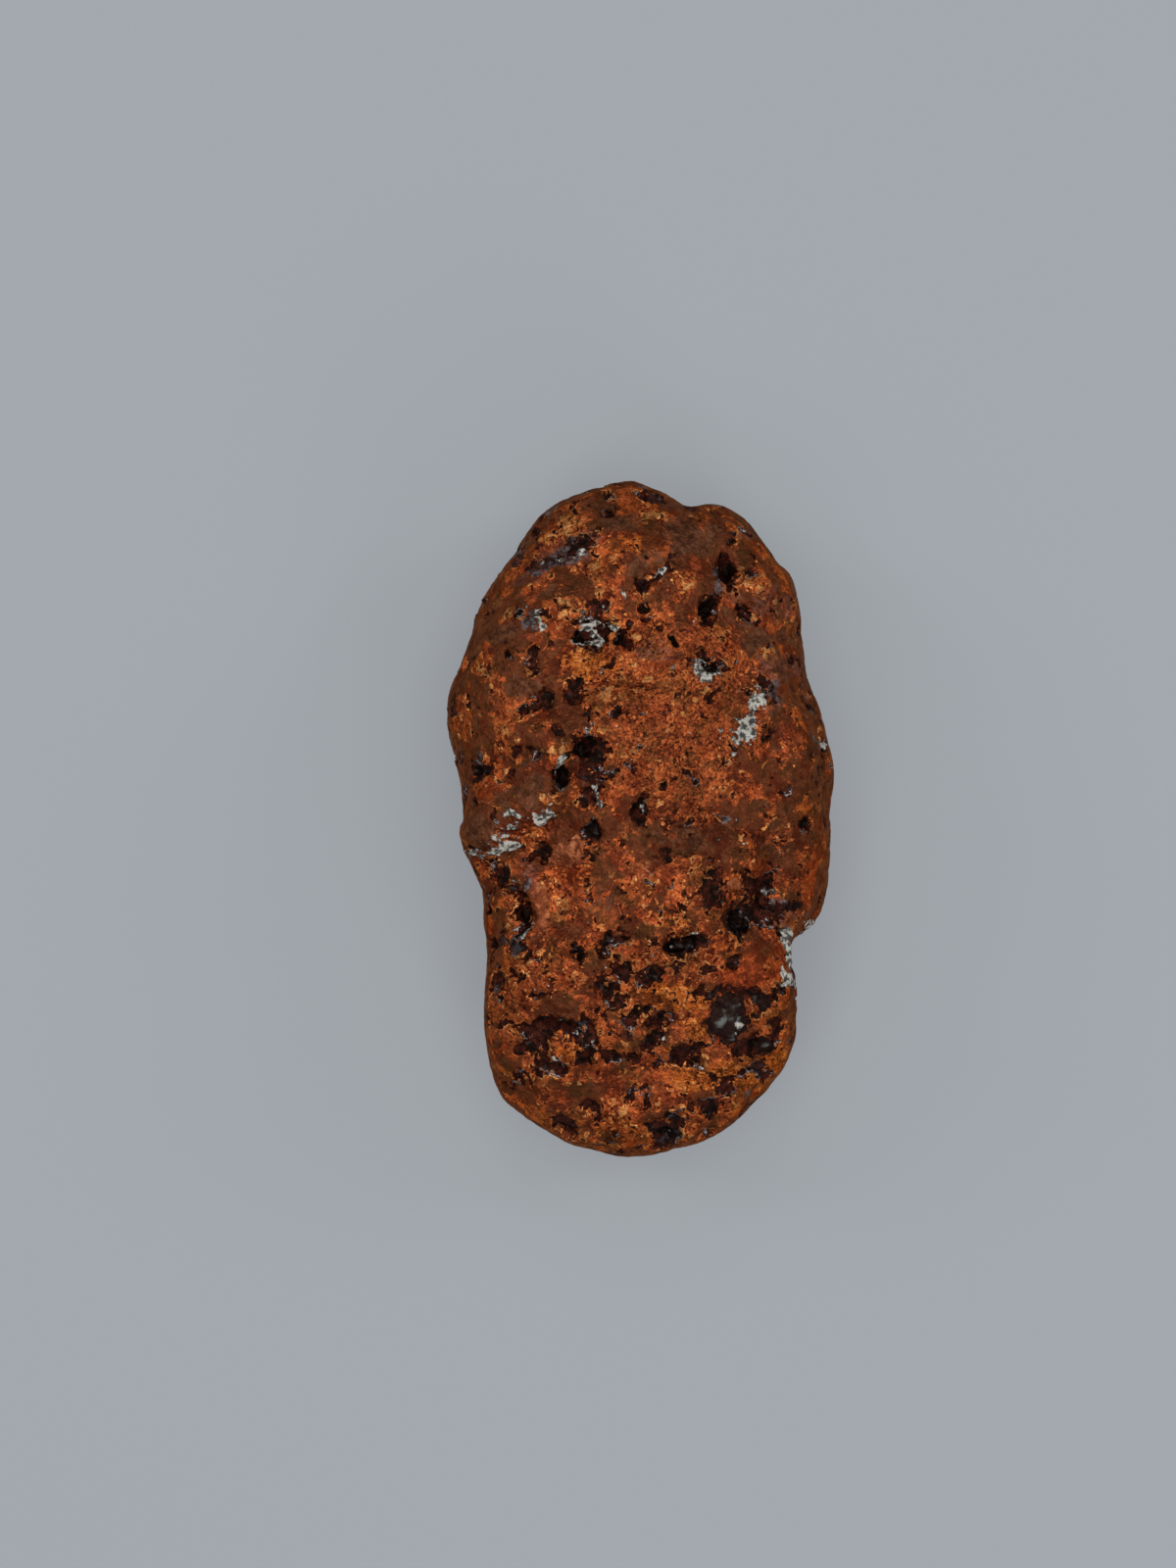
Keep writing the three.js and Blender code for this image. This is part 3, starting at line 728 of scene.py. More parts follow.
BRIGHT_METAL = patches(
    # top end and upper left shoulder
    (-5.9, 21.1, 1.5, 1.0, 1, 20), (-5.3, 22.5, 1.5, 0.6, 0.7, 15), (-3.2, 21.1, 0.7, 0.4, 0.8),
    (-3.9, 19.8, 0.6, 0.6, 0.8), (-0.3, 20.1, 0.6, 0.5, 0.9), (-2.1, 19.3, 1.0, 0.4, 1, 30),
    (-3.0, 18.6, 0.9, 0.4, 0.7, 20), (-4.6, 18.2, 1.5, 0.4, 0.6, 20), (1.6, 22.2, 1.8, 0.4, 0.7),
    (-2.6, 16.8, 0.9, 0.6, 0.9), (-0.3, 16.6, 0.9, 0.4), (2.9, 17.1, 0.6, 0.9, 0.8),
    (-9.4, 16.8, 0.9, 0.3, 0.6, 20), (-9.5, 15.1, 0.9, 0.4, 1, 10), (-6.2, 14.5, 0.7, 0.7, 0.8),
    (-4.6, 15.5, 0.7, 0.7, 0.8), (-5.7, 16.3, 1.0, 0.6, 0.6), (-1.9, 14.6, 0.5, 0.7, 0.8),
    # sheet below the pit of the upper left
    (-4.1, 11.6, 1.1, 0.7), (-2.3, 12.0, 0.7, 0.7, 0.9), (-1.7, 10.9, 0.7, 1.0, 0.9),
    (-3.0, 9.4, 0.9, 0.7, 0.8), (0.1, 12.0, 0.9, 0.4, 0.7),
    # upper right lobe
    (7.6, 17.3, 1.2, 0.7, 0.9), (5.9, 14.1, 0.7, 0.9, 0.8), (5.4, 13.3, 0.6, 0.4, 0.8),
    (5.7, 11.3, 0.6, 0.6, 0.9), (9.6, 12.4, 0.9, 0.6, 0.7), (11.0, 11.9, 0.6, 0.4, 0.5),
    # left side
    (-11.5, 10.7, 0.7, 0.9, 0.7), (-11.8, 8.0, 0.9, 0.4, 0.7, -60), (-8.5, 7.8, 0.7, 0.5, 0.8),
    (-7.2, 7.3, 0.7, 0.3, 0.8, -30), (-10.4, 6.2, 1.0, 0.8, 0.8), (-11.9, 5.7, 0.6, 0.4, 0.6),
    (-6.6, 9.4, 0.4, 0.6, 0.6), (-6.4, 5.1, 0.9, 0.5, 0.6), (-5.1, 2.9, 0.4, 0.4, 0.6),
    (-7.0, 1.7, 1.5, 0.5, 0.7),
    # cushion and right side
    (-0.7, 4.9, 1.2, 0.8, 0.75), (-0.1, 5.9, 0.7, 0.4, 0.5), (12.3, 2.2, 0.3, 0.4, 0.9),
    (11.9, 7.3, 0.7, 1.0, 0.4), (12.1, -2.5, 0.4, 0.4, 0.5),
    # middle
    (-7.8, -0.9, 1.8, 0.7, 0.9, 10), (-5.5, -3.7, 1.5, 0.9, 0.6), (-11.2, -2.9, 0.4, 0.4, 0.5),
    (2.6, -5.9, 0.9, 0.6, 0.6), (2.7, -7.0, 1.0, 0.5, 0.8), (8.9, -5.1, 0.9, 0.7, 0.7),
    (2.7, -8.1, 1.0, 0.2, 1, 25), (1.2, -9.9, 1.2, 0.4), (-0.3, -10.2, 0.6, 0.4, 0.9),
    (-4.7, -11.0, 0.8, 0.6, 0.9), (5.2, -10.9, 1.0, 0.9, 0.5), (-10.8, -9.8, 0.7, 0.4, 0.6),
    (-9.1, -11.2, 0.7, 0.6, 0.5), (-6.8, -11.6, 1.0, 0.4, 0.4), (9.6, -10.2, 0.7, 0.9, 0.4),
    # golden sheet and what lies round it
    (1.9, -12.6, 2.2, 0.7, 1, -8), (4.3, -13.1, 0.6, 0.6), (-2.4, -11.8, 0.4, 0.3),
    (4.0, -14.7, 0.7, 0.7, 0.8), (-1.0, -12.0, 0.9, 0.4, 0.5), (9.7, -12.0, 0.7, 0.6, 1, 20),
    # lower half and foot
    (-5.0, -16.8, 1.3, 0.6, 0.9, -15), (-7.9, -17.6, 0.7, 0.6, 0.6), (-3.2, -14.9, 1.0, 0.6, 0.4),
    (8.8, -14.6, 1.0, 0.9, 0.6), (3.4, -19.3, 1.3, 0.7, 0.8), (5.0, -17.8, 1.0, 0.6, 0.7),
    (6.9, -18.6, 1.0, 0.6, 0.8), (-1.7, -21.4, 1.3, 1.0, 0.6), (-0.3, -22.6, 1.0, 0.7, 0.5),
    (2.2, -22.9, 1.0, 1.0, 0.9),
)
OLIVE_PATINA = patches(
    (-1.3, 21.9, 1.3, 0.7), (3.6, 21.0, 2.0, 1.5), (0.5, 19.0, 1.8, 0.6, 0.8, 15),
    (8.5, 13.4, 2.2, 1.1, 0.9), (6.1, 15.3, 0.6, 0.6, 0.5), (-10.8, 13.6, 1.8, 0.7, 0.8, 10),
    (-11.9, 9.9, 0.9, 1.5, 0.5), (-9.0, 9.9, 1.8, 0.7, 0.6), (-6.8, 16.8, 1.0, 0.4, 0.6, 10),
    (-3.2, 23.0, 1.2, 0.4, 0.5, 10), (-3.9, 8.0, 0.7, 0.7, 0.4), (-6.8, 13.5, 1.9, 0.5, 0.5, 8),
    (-1.0, 17.9, 1.5, 0.6, 0.5, 10), (6.3, 21.1, 0.6, 1.0, 0.4), (8.8, 16.4, 0.7, 0.7, 0.3),
    (-11.8, -0.8, 1.3, 1.0), (-9.4, 1.7, 1.8, 0.7), (-7.9, 2.9, 0.9, 0.6, 0.6), (-3.9, 2.6, 0.7, 0.4, 0.5),
    (-3.0, -5.9, 1.0, 1.0, 0.8), (2.7, -1.2, 2.2, 1.1, 0.6, -10), (-5.0, -7.6, 1.5, 0.7, 0.3),
    (11.2, -14.9, 0.7, 3.6, 0.7), (-10.8, -16.3, 0.9, 3.2, 0.45),
)
MATTE_FILM = patches(
    (2.5, 7.3, 4.5, 6.4), (2.7, 3.3, 3.6, 2.9, 0.8),
)
TAN_METAL = patches(
    (-5.6, -2.4, 1.2, 0.6, 1, -20), (-7.7, -5.3, 0.6, 0.8), (-7.2, -6.7, 0.4, 1.1),
    (-8.6, -3.1, 0.9, 0.4, 0.6, -65), (6.4, -4.6, 0.7, 0.3, 1, 5), (0.1, -3.5, 2.2, 1.5, 0.3),
    (-4.6, -1.5, 0.6, 0.4, 0.6), (1.1, -1.1, 0.7, 0.4, 0.3),
)
RED_METAL = patches(
    (-5.0, -3.6, 1.6, 1.2, 0.6), (-11.4, -7.3, 1.0, 1.6, 0.8), (7.9, -10.9, 2.3, 1.3, 0.8, 5),
    (9.9, -9.9, 0.7, 0.9, 0.6), (11.5, 6.8, 0.9, 1.8, 0.45), (-10.4, 4.8, 1.1, 1.3, 0.4),
    (8.6, -3.2, 1.0, 0.7, 0.7), (-2.8, -18.2, 3.2, 1.0, 0.4), (-0.6, 4.6, 1.3, 1.0, 0.4),
    (8.5, 4.8, 1.0, 2.2, 0.4), (12.7, -4.7, 1.2, 3.6, 0.5), (-2.4, -20.0, 3.6, 0.9, 0.3),
)
GOLDEN_METAL = patches(
    (1.9, -12.6, 2.5, 0.9, 1, -6), (5.2, -18.9, 3.4, 1.2, 0.7, 5), (-5.3, -9.1, 3.2, 1.5, 0.35),
    (-0.6, -22.2, 2.9, 1.5, 0.4), (9.9, -18.7, 1.8, 1.3, 1, 40), (-5.0, -16.8, 1.5, 0.7, 0.6),
    (3.9, -14.9, 0.9, 0.9, 0.7), (-3.9, 11.3, 2.2, 1.2, 0.6), (-0.6, 20.1, 2.9, 0.7, 0.5),
    (2.7, -6.9, 1.9, 1.2, 0.4), (11.4, -14.9, 0.7, 2.9, 0.5), (6.3, -9.1, 1.6, 1.0, 0.4),
)
VIOLET_BLOOM = patches(
    (-5.5, 19.6, 2.1, 0.9, 1.2, 25), (-8.3, 17.7, 1.0, 0.4, 0.7, 10), (-13.9, 4.6, 0.7, 0.7, 0.6),
    (-11.8, 3.7, 0.4, 0.9, 0.6), (2.7, 23.2, 1.6, 0.4, 0.7), (9.7, 16.0, 1.5, 1.1, 0.7),
    (10.3, 11.3, 1.8, 1.1, 0.7), (9.4, 9.3, 0.8, 1.3, 0.8), (7.5, 21.0, 0.7, 0.6, 0.6),
    (1.3, 12.2, 1.9, 0.9, 0.45), (-8.2, -4.0, 1.1, 0.6, 0.7, -75), (8.6, -5.1, 1.2, 0.7, 0.5),
    (10.4, -7.2, 0.9, 0.9, 0.7), (5.9, -20.0, 0.7, 0.6, 0.6), (-5.6, -22.3, 0.8, 0.6, 0.5),
    (9.9, 5.5, 1.2, 1.9, 0.35), (9.9, -0.3, 1.6, 2.5, 0.3), (1.2, 23.8, 0.7, 0.4, 0.5),
    (-7.9, -12.0, 0.6, 0.6, 0.3), (6.4, 16.9, 1.2, 0.4, 0.8, -55), (4.8, 15.9, 0.7, 0.6, 0.5),
    (11.2, 14.2, 0.7, 1.5, 0.3),
)
SLATE_SHEEN = patches(
    (-5.5, 19.6, 1.7, 0.7, 1.1, 28), (-7.4, 18.2, 0.7, 0.3, 0.8, 15), (1.2, 23.8, 0.5, 0.3, 0.8),
    (5.6, 18.0, 0.5, 0.6, 0.9), (5.4, 16.6, 0.7, 0.4, 0.8, 60), (4.7, 15.5, 0.8, 0.5, 0.9, 60),
    (-8.1, 14.6, 0.4, 0.9, 0.8), (-8.2, -4.6, 0.4, 0.7, 0.6, -10), (-8.6, -7.1, 0.4, 0.6, 0.7),
    (8.9, -5.0, 0.9, 0.4, 0.9), (9.9, -6.3, 0.6, 0.5, 0.8), (-5.6, -22.3, 0.7, 0.4, 0.9, -15),
    (-11.9, 4.0, 0.3, 0.7, 0.9), (-0.1, 1.2, 0.5, 0.4, 0.7), (5.8, 0.4, 0.6, 0.3, 0.8, -40),
    (6.2, -19.8, 0.6, 0.5, 0.8), (-7.6, -14.9, 0.8, 0.3, 0.7), (9.6, 9.4, 0.4, 0.8, 0.7),
)
# Painted shade: broad patches of darker brown, such as the saddle below the cushion, that lower the copper's
# tone
PAINTED_SHADE_PATCHES = patches(
    (3.5, 0.1, 3.2, 1.0, 0.75, -15), (2.7, -1.9, 1.9, 1.3, 0.55), (10.1, -2.4, 1.5, 1.8, 0.4),
    (-3.9, 4.0, 1.8, 2.5, 0.4), (6.7, -6.1, 2.5, 1.9, 0.4), (-6.8, -15.2, 2.9, 1.8, 0.3),
    (3.4, -20.7, 3.6, 0.9, 0.35, 10), (-1.0, -13.1, 1.9, 0.9, 0.3), (12.8, -1.8, 1.0, 4.4, 0.35),
    (-6.8, 23.0, 2.9, 0.9, 0.3, 35), (-12.6, 3.3, 1.5, 2.9, 0.3), (-9.7, -8.3, 2.2, 1.0, 0.25),
)
CRUSTS = (
    # along the left fold
    Strip(((-12.8, -2.2), (-12.3, -2.4), (-11.7, -2.4), (-11.2, -2.2)), 0.14),
    Strip(((-11.2, -2.2), (-10.6, -1.9), (-10.2, -1.5)), 0.22), Patch(-9.6, -1.6, 0.65, 0.5, 1, 20),
    Strip(((-11.0, -1.1), (-10.7, -1.3)), 0.2), Strip(((-9.9, -0.5), (-9.4, -0.2), (-8.9, 0.0)), 0.17),
    Strip(((-10.2, 0.4), (-9.6, 0.6), (-9.1, 0.5), (-8.5, 0.3)), 0.18, 0.7),
    Strip(((-7.8, 0.4), (-7.3, 0.2), (-6.8, 0.5), (-6.4, 0.5)), 0.32),
    Strip(((-7.3, 0.3), (-7.1, 0.9)), 0.13), Patch(-7.1, 1.7, 0.4, 0.3, 0.6),
    # beside the holes of the middle
    Strip(((-6.4, 3.7), (-6.3, 4.2), (-5.9, 4.3), (-5.6, 4.5), (-5.4, 4.7)), 0.16),
    Strip(((-3.5, 2.6), (-3.2, 2.0), (-3.1, 1.4), (-2.9, 1.1)), 0.16, 0.9),
    Strip(((0.0, 1.1), (0.1, 0.5)), 0.16),
    Strip(((-7.9, -7.4), (-8.0, -7.9), (-8.3, -7.9), (-8.8, -8.4)), 0.2),
    # patch right of the pit at the upper right
    Patch(4.0, 11.0, 0.45, 0.45), Patch(4.4, 10.4, 0.4, 0.4), Patch(5.4, 10.7, 0.2, 0.2),
    Patch(4.4, 11.4, 0.25, 0.2),
    # network in the pit of the upper left
    Strip(
        ((-4.8, 14.4), (-4.3, 14.5), (-3.7, 14.4), (-3.5, 14.0), (-3.6, 13.4), (-3.5, 12.9), (-3.2, 12.8)),
        0.3, 0.55,
    ),
    Patch(-3.4, 13.1, 0.5, 0.4, 0.75), Strip(((-3.4, 14.5), (-2.6, 14.3), (-1.9, 14.1)), 0.25, 0.55),
    Strip(((-4.9, 13.3), (-4.2, 12.9), (-3.5, 12.7)), 0.22, 0.55),
    Strip(((-7.7, 15.1), (-7.4, 14.6), (-7.2, 14.0)), 0.2, 0.8), Patch(-8.8, 15.8, 0.2, 0.2),
    # right side
    Patch(7.6, 6.8, 1.1, 0.75, 1, 65), Patch(8.1, 8.4, 0.8, 0.5, 0.9, 80), Patch(8.4, 9.3, 0.4, 0.35, 0.8),
    Strip(((8.9, 9.5), (8.8, 7.8)), 0.22, 0.5), Strip(((5.4, 6.6), (5.5, 6.2)), 0.1),
    Patch(6.7, 4.8, 0.12, 0.2),
    # notch of the right fold
    Strip(((10.7, -7.7), (10.6, -8.2), (10.4, -8.8), (10.5, -9.5), (10.6, -10.2)), 0.32),
    Strip(((10.0, -11.0), (10.5, -11.5), (10.8, -12.1)), 0.34), Patch(12.5, -7.8, 0.3, 0.3),
    Strip(((12.8, -7.6), (12.2, -8.2)), 0.2), Strip(((11.6, -9.2), (11.5, -9.7)), 0.22),
    # grains
    Patch(-4.6, -15.4, 0.2, 0.2), Patch(-3.9, -15.8, 0.15, 0.15), Patch(-6.1, -17.4, 0.2, 0.2),
    Patch(-7.1, -16.5, 0.13, 0.13), Patch(-8.8, 15.8, 0.15, 0.25), Patch(-1.5, 16.7, 0.15, 0.25),
    Patch(3.8, -7.8, 0.16, 0.16), Patch(6.2, -7.1, 0.13, 0.3), Patch(13.2, 5.7, 0.25, 0.25),
    # the grain at (7.1, −15.0), beside the glassy mineral, is a painted white highlight on it
    Patch(3.5, -9.7, 0.13, 0.13), Patch(9.4, -5.0, 0.3, 0.25, 0.8), Patch(7.1, -15.0, 0.3, 0.3, 1.2),
    Strip(((1.9, 18.5), (1.1, 18.1), (0.5, 17.9)), 0.12, 0.8),
    Strip(((-7.1, 19.0), (-6.1, 18.8), (-4.9, 19.1), (-4.1, 19.9)), 0.12, 0.55),
)
GLASS_SPOTS = patches(
    (6.3, -14.5, 1.35, 1.6), (9.1, -16.4, 0.5, 0.4, 0.8), (9.1, -13.3, 0.4, 0.5, 0.7),
)

PATCHES: dict[Zone, tuple[Patch | Strip, ...]] = {
    Zone.GAP: GAPS,
    Zone.HOLE: HOLES,
    Zone.BRIGHT: BRIGHT_METAL,
    Zone.PATINA: OLIVE_PATINA,
    Zone.MATTE: MATTE_FILM,
    Zone.TAN: TAN_METAL,
    Zone.RED: RED_METAL,
    Zone.GOLD: GOLDEN_METAL,
    Zone.VIOLET: VIOLET_BLOOM,
    Zone.SLATE: SLATE_SHEEN,
    Zone.SHADE: PAINTED_SHADE_PATCHES,
    Zone.CRUST: CRUSTS,
    Zone.GLASS: GLASS_SPOTS,
}


@dataclass(frozen=True)
class Scatter:
    """How a zone is strewn over the sides and the underside: patch size, and the noise where it starts."""

    size: float
    level: float
    strength: float = 1
    highest: float = 0.7  # upward part of the normal where it ends


SCATTERS: dict[Zone, Scatter] = {
    Zone.GAP: Scatter(1.8, 0.16, 0.9),
    Zone.HOLE: Scatter(1.3, 0.34, 0.9),
    Zone.BRIGHT: Scatter(1.9, 0.12, 0.9),
    Zone.PATINA: Scatter(4.5, 0.05, 0.8),
    Zone.MATTE: Scatter(7.0, 0.2, 0.8),
    Zone.TAN: Scatter(2.4, 0.3, 0.7),
    Zone.RED: Scatter(3.6, 0.18, 0.7),
    Zone.GOLD: Scatter(3.9, 0.2, 0.6),
    Zone.VIOLET: Scatter(3.3, 0.22, 0.6),
    Zone.SLATE: Scatter(1.9, 0.3, 0.8),
    Zone.SHADE: Scatter(5.0, 0.12, 0.6),
    Zone.CRUST: Scatter(1.5, 0.34, 0.9, 0.1),
}


@dataclass(frozen=True)
class ReliefHeights:
    """How far each part of the relief stands out, or sinks where its name says depth, in millimetres."""

    sheet: float = 0.16
    sheet_edge: float = 0.05
    broad: float = 0.08
    unfilmed: float = 0.04
    curl: float = 0.05
    calm_curl: float = 0.012
    grain: float = 0.05
    calm_grain: float = 0.03
    gap_depth: float = 0.12
    gap_fleck: float = 0.1
    hole_depth: float = 0.35
    crust: float = 0.12
    crust_grain: float = 0.1
    glass_dome: float = 0.9
    glass_depth: float = 0.6


@dataclass(frozen=True)
class ToneShares:
    """The plain copper's tone, from 0 for the darkest film to 1 for bright metal, and what changes it."""

    plain: float = 0.37
    broad: float = 0.08
    curl: float = 0.05
    bright: float = 0.03
    gold: float = 0.03
    # painted shade: tone lowered under the shade zone's patches
    shade: float = -0.16
    # painted light: tone raised where the surface tilts away from up, to lift the shade of the flanks
    painted_flank_light: float = 0.1


@dataclass
class SurfaceMap:
    """What covers each point of the nugget's surface, and how far it stands out.

    Every value is worked out from layered noise and from the patches of each zone, whose edges the noise
    makes ragged.
    """

    points: Array
    normals: Array
    cells: Array
    seed: int = 29
    heights: ReliefHeights = ReliefHeights()
    tones: ToneShares = ToneShares()

    def __post_init__(self) -> None:
        """Works out the noises, each zone's cover of each point, and the edges of skin, holes and crusts."""
        self.noise = LatticeNoise(self.seed)
        shifts = 0.5 * self.noise.shifts(self.points, 1.3) + 0.3 * self.noise.shifts(self.points + 9, 0.55)
        self.shifted = self.points + shifts
        self.up = self.normals[:, 2]
        self.covers = {zone: self.cover(index, zone) for index, zone in enumerate(Zone)}
        self.broad = self.read(BROAD_NOISE)
        self.ragged = self.read(RAGGED_NOISE)
        self.grain = self.read(GRAIN_NOISE)
        swirled = self.points + 0.35 * self.noise.shifts(self.points + 60, 0.9)
        self.curl = 1 - 2 * np.abs(self.read(CURL_NOISE, swirled))
        self.film = self.film_cover()
        self.patina = self.patina_cover()
        self.calm = self.calm_cover()
        self.skin = self.skin_edge()
        hole = self.covers[Zone.HOLE] * (1 + 1.6 * self.ragged) - 0.6 + 0.25 * (self.skin < 0)
        self.hollow = self.from_edge(hole)
        self.crust = self.from_edge(1.2 * self.covers[Zone.CRUST] + 0.8 * (self.curl - 0.8) - 0.4)

    def read(self, kind: NoiseKind, points: Array | None = None) -> Array:
        """A kind of noise at the surface's points, or at other points that are given."""
        places = self.points if points is None else points
        return self.noise.layered(places + kind.start, kind.size, kind.layers, kind.falloff)

    def cover(self, index: int, zone: Zone) -> Array:
        """How far a zone covers each point: its listed patches above, and its scattered ones on the sides.

        Args:
            index: Place of the zone in the list, which sets its noise apart.
            zone: The zone.

        Returns:
            Shares from 0 to 1.
        """
        seen = smooth_step(-0.05, 0.15, self.up)
        listed = np.max([patch.cover(self.shifted) for patch in PATCHES[zone]], axis=0) * seen
        if zone not in SCATTERS:
            return listed
        scatter = SCATTERS[zone]
        strewn = self.noise.layered(self.points + 40 * (index + 1), scatter.size, 3)
        strewn = scatter.strength * smooth_step(scatter.level, scatter.level + 0.14, strewn)
        return np.maximum(listed, strewn * smooth_step(scatter.highest, scatter.highest - 0.4, self.up))

    def from_edge(self, value: Array, reach: float = 0.8) -> Array:
        """Distance in millimetres from the line where a value passes zero, positive where the value is.

        It is the value over its slope. The slope of a cell comes from the value's change along its two
        diagonals, and the slope at a point is the mean of the cells round it.

        Args:
            value: The value at each point.
            reach: Where the distance stops growing.

        Returns:
            The distances, between −reach and reach.
        """
        squares = 0
        for first, last in ((0, 2), (1, 3)):
            start, end = self.cells[:, first], self.cells[:, last]
            length = np.linalg.norm(self.points[end] - self.points[start], axis=1)
            squares = squares + ((value[end] - value[start]) / length) ** 2
        corners = self.cells.ravel()
        total = np.bincount(corners, np.repeat(np.sqrt(squares), 4), len(value))
        slope = total / np.bincount(corners, minlength=len(value))
        return np.clip(value / np.maximum(slope, 0.2), -reach, reach)

    def film_cover(self) -> Array:
        """Where brown film lies, above 0: more in the upper half, less where metal is bare or matte."""
        covers = self.covers
        film = self.read(FILM_NOISE, self.shifted) - 0.08 + 0.13 * smooth_step(-6, 1, self.points[:, 1])
        return film - 0.25 * covers[Zone.BRIGHT] - 0.2 * covers[Zone.GAP] - 0.45 * covers[Zone.MATTE]

    def patina_cover(self) -> Array:
        """The patina's patches, and more of it round the flanks, where noise breaks it up."""
        rim = smooth_step(0.68, 0.4, self.up) * (1 - 0.5 * smooth_step(0.0, -0.6, self.up))
        flanks = np.clip(rim + 0.8 * self.read(RIM_NOISE), 0, 1) * rim
        return np.maximum(self.covers[Zone.PATINA] * (0.75 + 0.9 * self.film), flanks)

    def calm_cover(self) -> Array:
        """How calm and even the skin is: wholly under patina and glass, and partly under other films."""
        covers = self.covers
        shares = [self.patina, 0.2 * covers[Zone.MATTE], 0.8 * covers[Zone.TAN], 0.4 * covers[Zone.RED]]
        return np.clip(np.maximum.reduce([*shares, covers[Zone.GLASS]]), 0, 1)

    def skin_edge(self) -> Array:
        """Distance from the edges of the copper skin, positive on it: noise, cut by gaps and holes."""
        covers = self.covers
        plain = 0.36 + 0.2 * self.broad + 1.2 * self.ragged + 0.3 * self.calm
        return self.from_edge(
            plain - 0.95 * covers[Zone.GAP] - 1.1 * covers[Zone.HOLE] + 0.1 * covers[Zone.BRIGHT]
        )

    def relief(self) -> Array:
        """How far each point stands out along its normal.

        Sheets of copper stand above the gaps, and a bell curve raises their edges. Ridged noise,
        1 − 2|noise|, gives the curly grain, which is lower where the skin is calm. Holes sink, and crusts
        and glass rise.

        Returns:
            The rises in millimetres.
        """
        heights = self.heights
        sheet = smooth_step(-0.1, 0.1, self.skin)
        edge = bell((self.skin - 0.12) / 0.1) * (1 - self.calm)
        curl = self.curl * blend(self.calm, heights.curl, heights.calm_curl)
        curl = curl * (1 + 0.8 * self.covers[Zone.BRIGHT])
        fleck = self.read(FLECK_NOISE, self.shifted)
        crust = smooth_step(-0.05, 0.08, self.crust)
        relief = (
            heights.sheet * sheet + heights.broad * self.broad
            + heights.unfilmed * smooth_step(0.04, -0.04, self.film)
            + heights.sheet_edge * edge
            + curl * sheet
            + self.grain * blend(self.calm, heights.grain, heights.calm_grain)
            - heights.gap_depth * self.covers[Zone.GAP] * (1 - sheet)
            - heights.hole_depth * smooth_step(0, 0.35, self.hollow)
            + (1 - sheet) * heights.gap_fleck * fleck
            + crust * (heights.crust + heights.crust_grain * self.grain)
        )
        glass = self.covers[Zone.GLASS]
        return blend(smooth_step(0.3, 0.5, glass), relief, heights.glass_dome * glass - heights.glass_depth)

    def tone(self) -> Array:
        """The copper's tone at each point, before the material's fine patterns: darker under the painted
        shade patches, and lighter on the flanks as painted light.
        """
        tones, covers = self.tones, self.covers
        return (
            tones.plain + tones.broad * self.broad + tones.curl * self.curl * (1 - 0.4 * self.calm)
            + tones.bright * covers[Zone.BRIGHT] + tones.gold * covers[Zone.GOLD]
            + tones.shade * covers[Zone.SHADE] + tones.painted_flank_light * smooth_step(0.9, 0.5, self.up)
        )

    def values(self) -> dict[str, Array]:
        """The values that the material reads, by name."""
        bright = self.covers[Zone.BRIGHT]
        wear = smooth_step(-0.05, 0.35, self.read(WEAR_NOISE))
        plain = (Zone.MATTE, Zone.TAN, Zone.RED, Zone.GOLD, Zone.VIOLET, Zone.SLATE, Zone.GLASS)
        return {zone.value: self.covers[zone] for zone in plain} | {
            "skin": self.skin,
            "film": self.from_edge(self.film),
            "hollow": self.hollow,
            "crust": self.crust,
            "tone": self.tone(),
            "calm": self.calm,
            "patina": self.patina,
            "worn": np.clip(bright + wear, 0, 1),
            "bright": np.clip(np.maximum(bright, 0.6 * self.covers[Zone.GOLD]), 0, 1),
        }


# Materials


def linear(tint: Tint) -> tuple[float, float, float, float]:
    """A display colour, 0 to 255, as the linear colour with alpha that a shader takes."""
    shares = np.array(tint) / 255
    values = np.where(shares <= 0.04045, shares / 12.92, ((shares + 0.055) / 1.055) ** 2.4)
    return (*map(float, values), 1.0)


@dataclass(frozen=True)
class Finish:
    """A finish of the surface: its darker and lighter tint, how metallic it is, and how rough."""

    dark: Tint
    light: Tint
    metallic: float
    roughness: float


OXIDE = Finish((34, 13, 11), (84, 35, 27), 0.6, 0.3)
# dark oxide, black partly as painted shade of holes and gap depths; its light tint is a painted blue-grey
# sheen
HOLLOW = Finish((14, 8, 8), (66, 60, 64), 0.5, 0.3)
PATINA = Finish((82, 51, 36), (136, 87, 61), 0.85, 0.5)
FILM = Finish((100, 50, 30), (156, 86, 54), 0.9, 0.55)
BROWN_FILM = Finish((92, 50, 32), (134, 78, 51), 0.9, 0.5)
RED_FILM = Finish((84, 28, 18), (176, 66, 38), 0.9, 0.45)
OLIVE_FILM = Finish((62, 46, 26), (134, 92, 48), 0.9, 0.5)
PINK_TAN = Finish((140, 72, 44), (214, 128, 84), 0.9, 0.45)
ORANGE_RED = Finish((112, 40, 20), (196, 82, 40), 0.95, 0.42)
GOLDEN = Finish((96, 42, 18), (255, 136, 48), 0.95, 0.28)
BLOOM = Finish((86, 54, 46), (138, 94, 84), 0.8, 0.5)
SLATE = Finish((40, 28, 28), (126, 124, 128), 0.7, 0.35)
CRUST = Finish((84, 84, 80), (232, 228, 216), 0.0, 0.85)
GLASSY = Finish((36, 20, 20), (136, 142, 138), 0.3, 0.16)
# painted highlight: pale glints along the gaps' edges and as specks in them
GLINT = Finish((120, 112, 112), (225, 222, 222), 0.6, 0.3)

# Copper skin from its darkest film to bright metal and the painted highlights at its top: share of the tone,
# and tint
COPPER_TONES: tuple[tuple[float, Tint], ...] = (
    (0.0, (40, 17, 12)), (0.2, (88, 42, 26)), (0.4, (156, 79, 46)),
    (0.6, (238, 118, 62)), (0.8, (255, 150, 74)), (1.0, (255, 180, 110)),
)


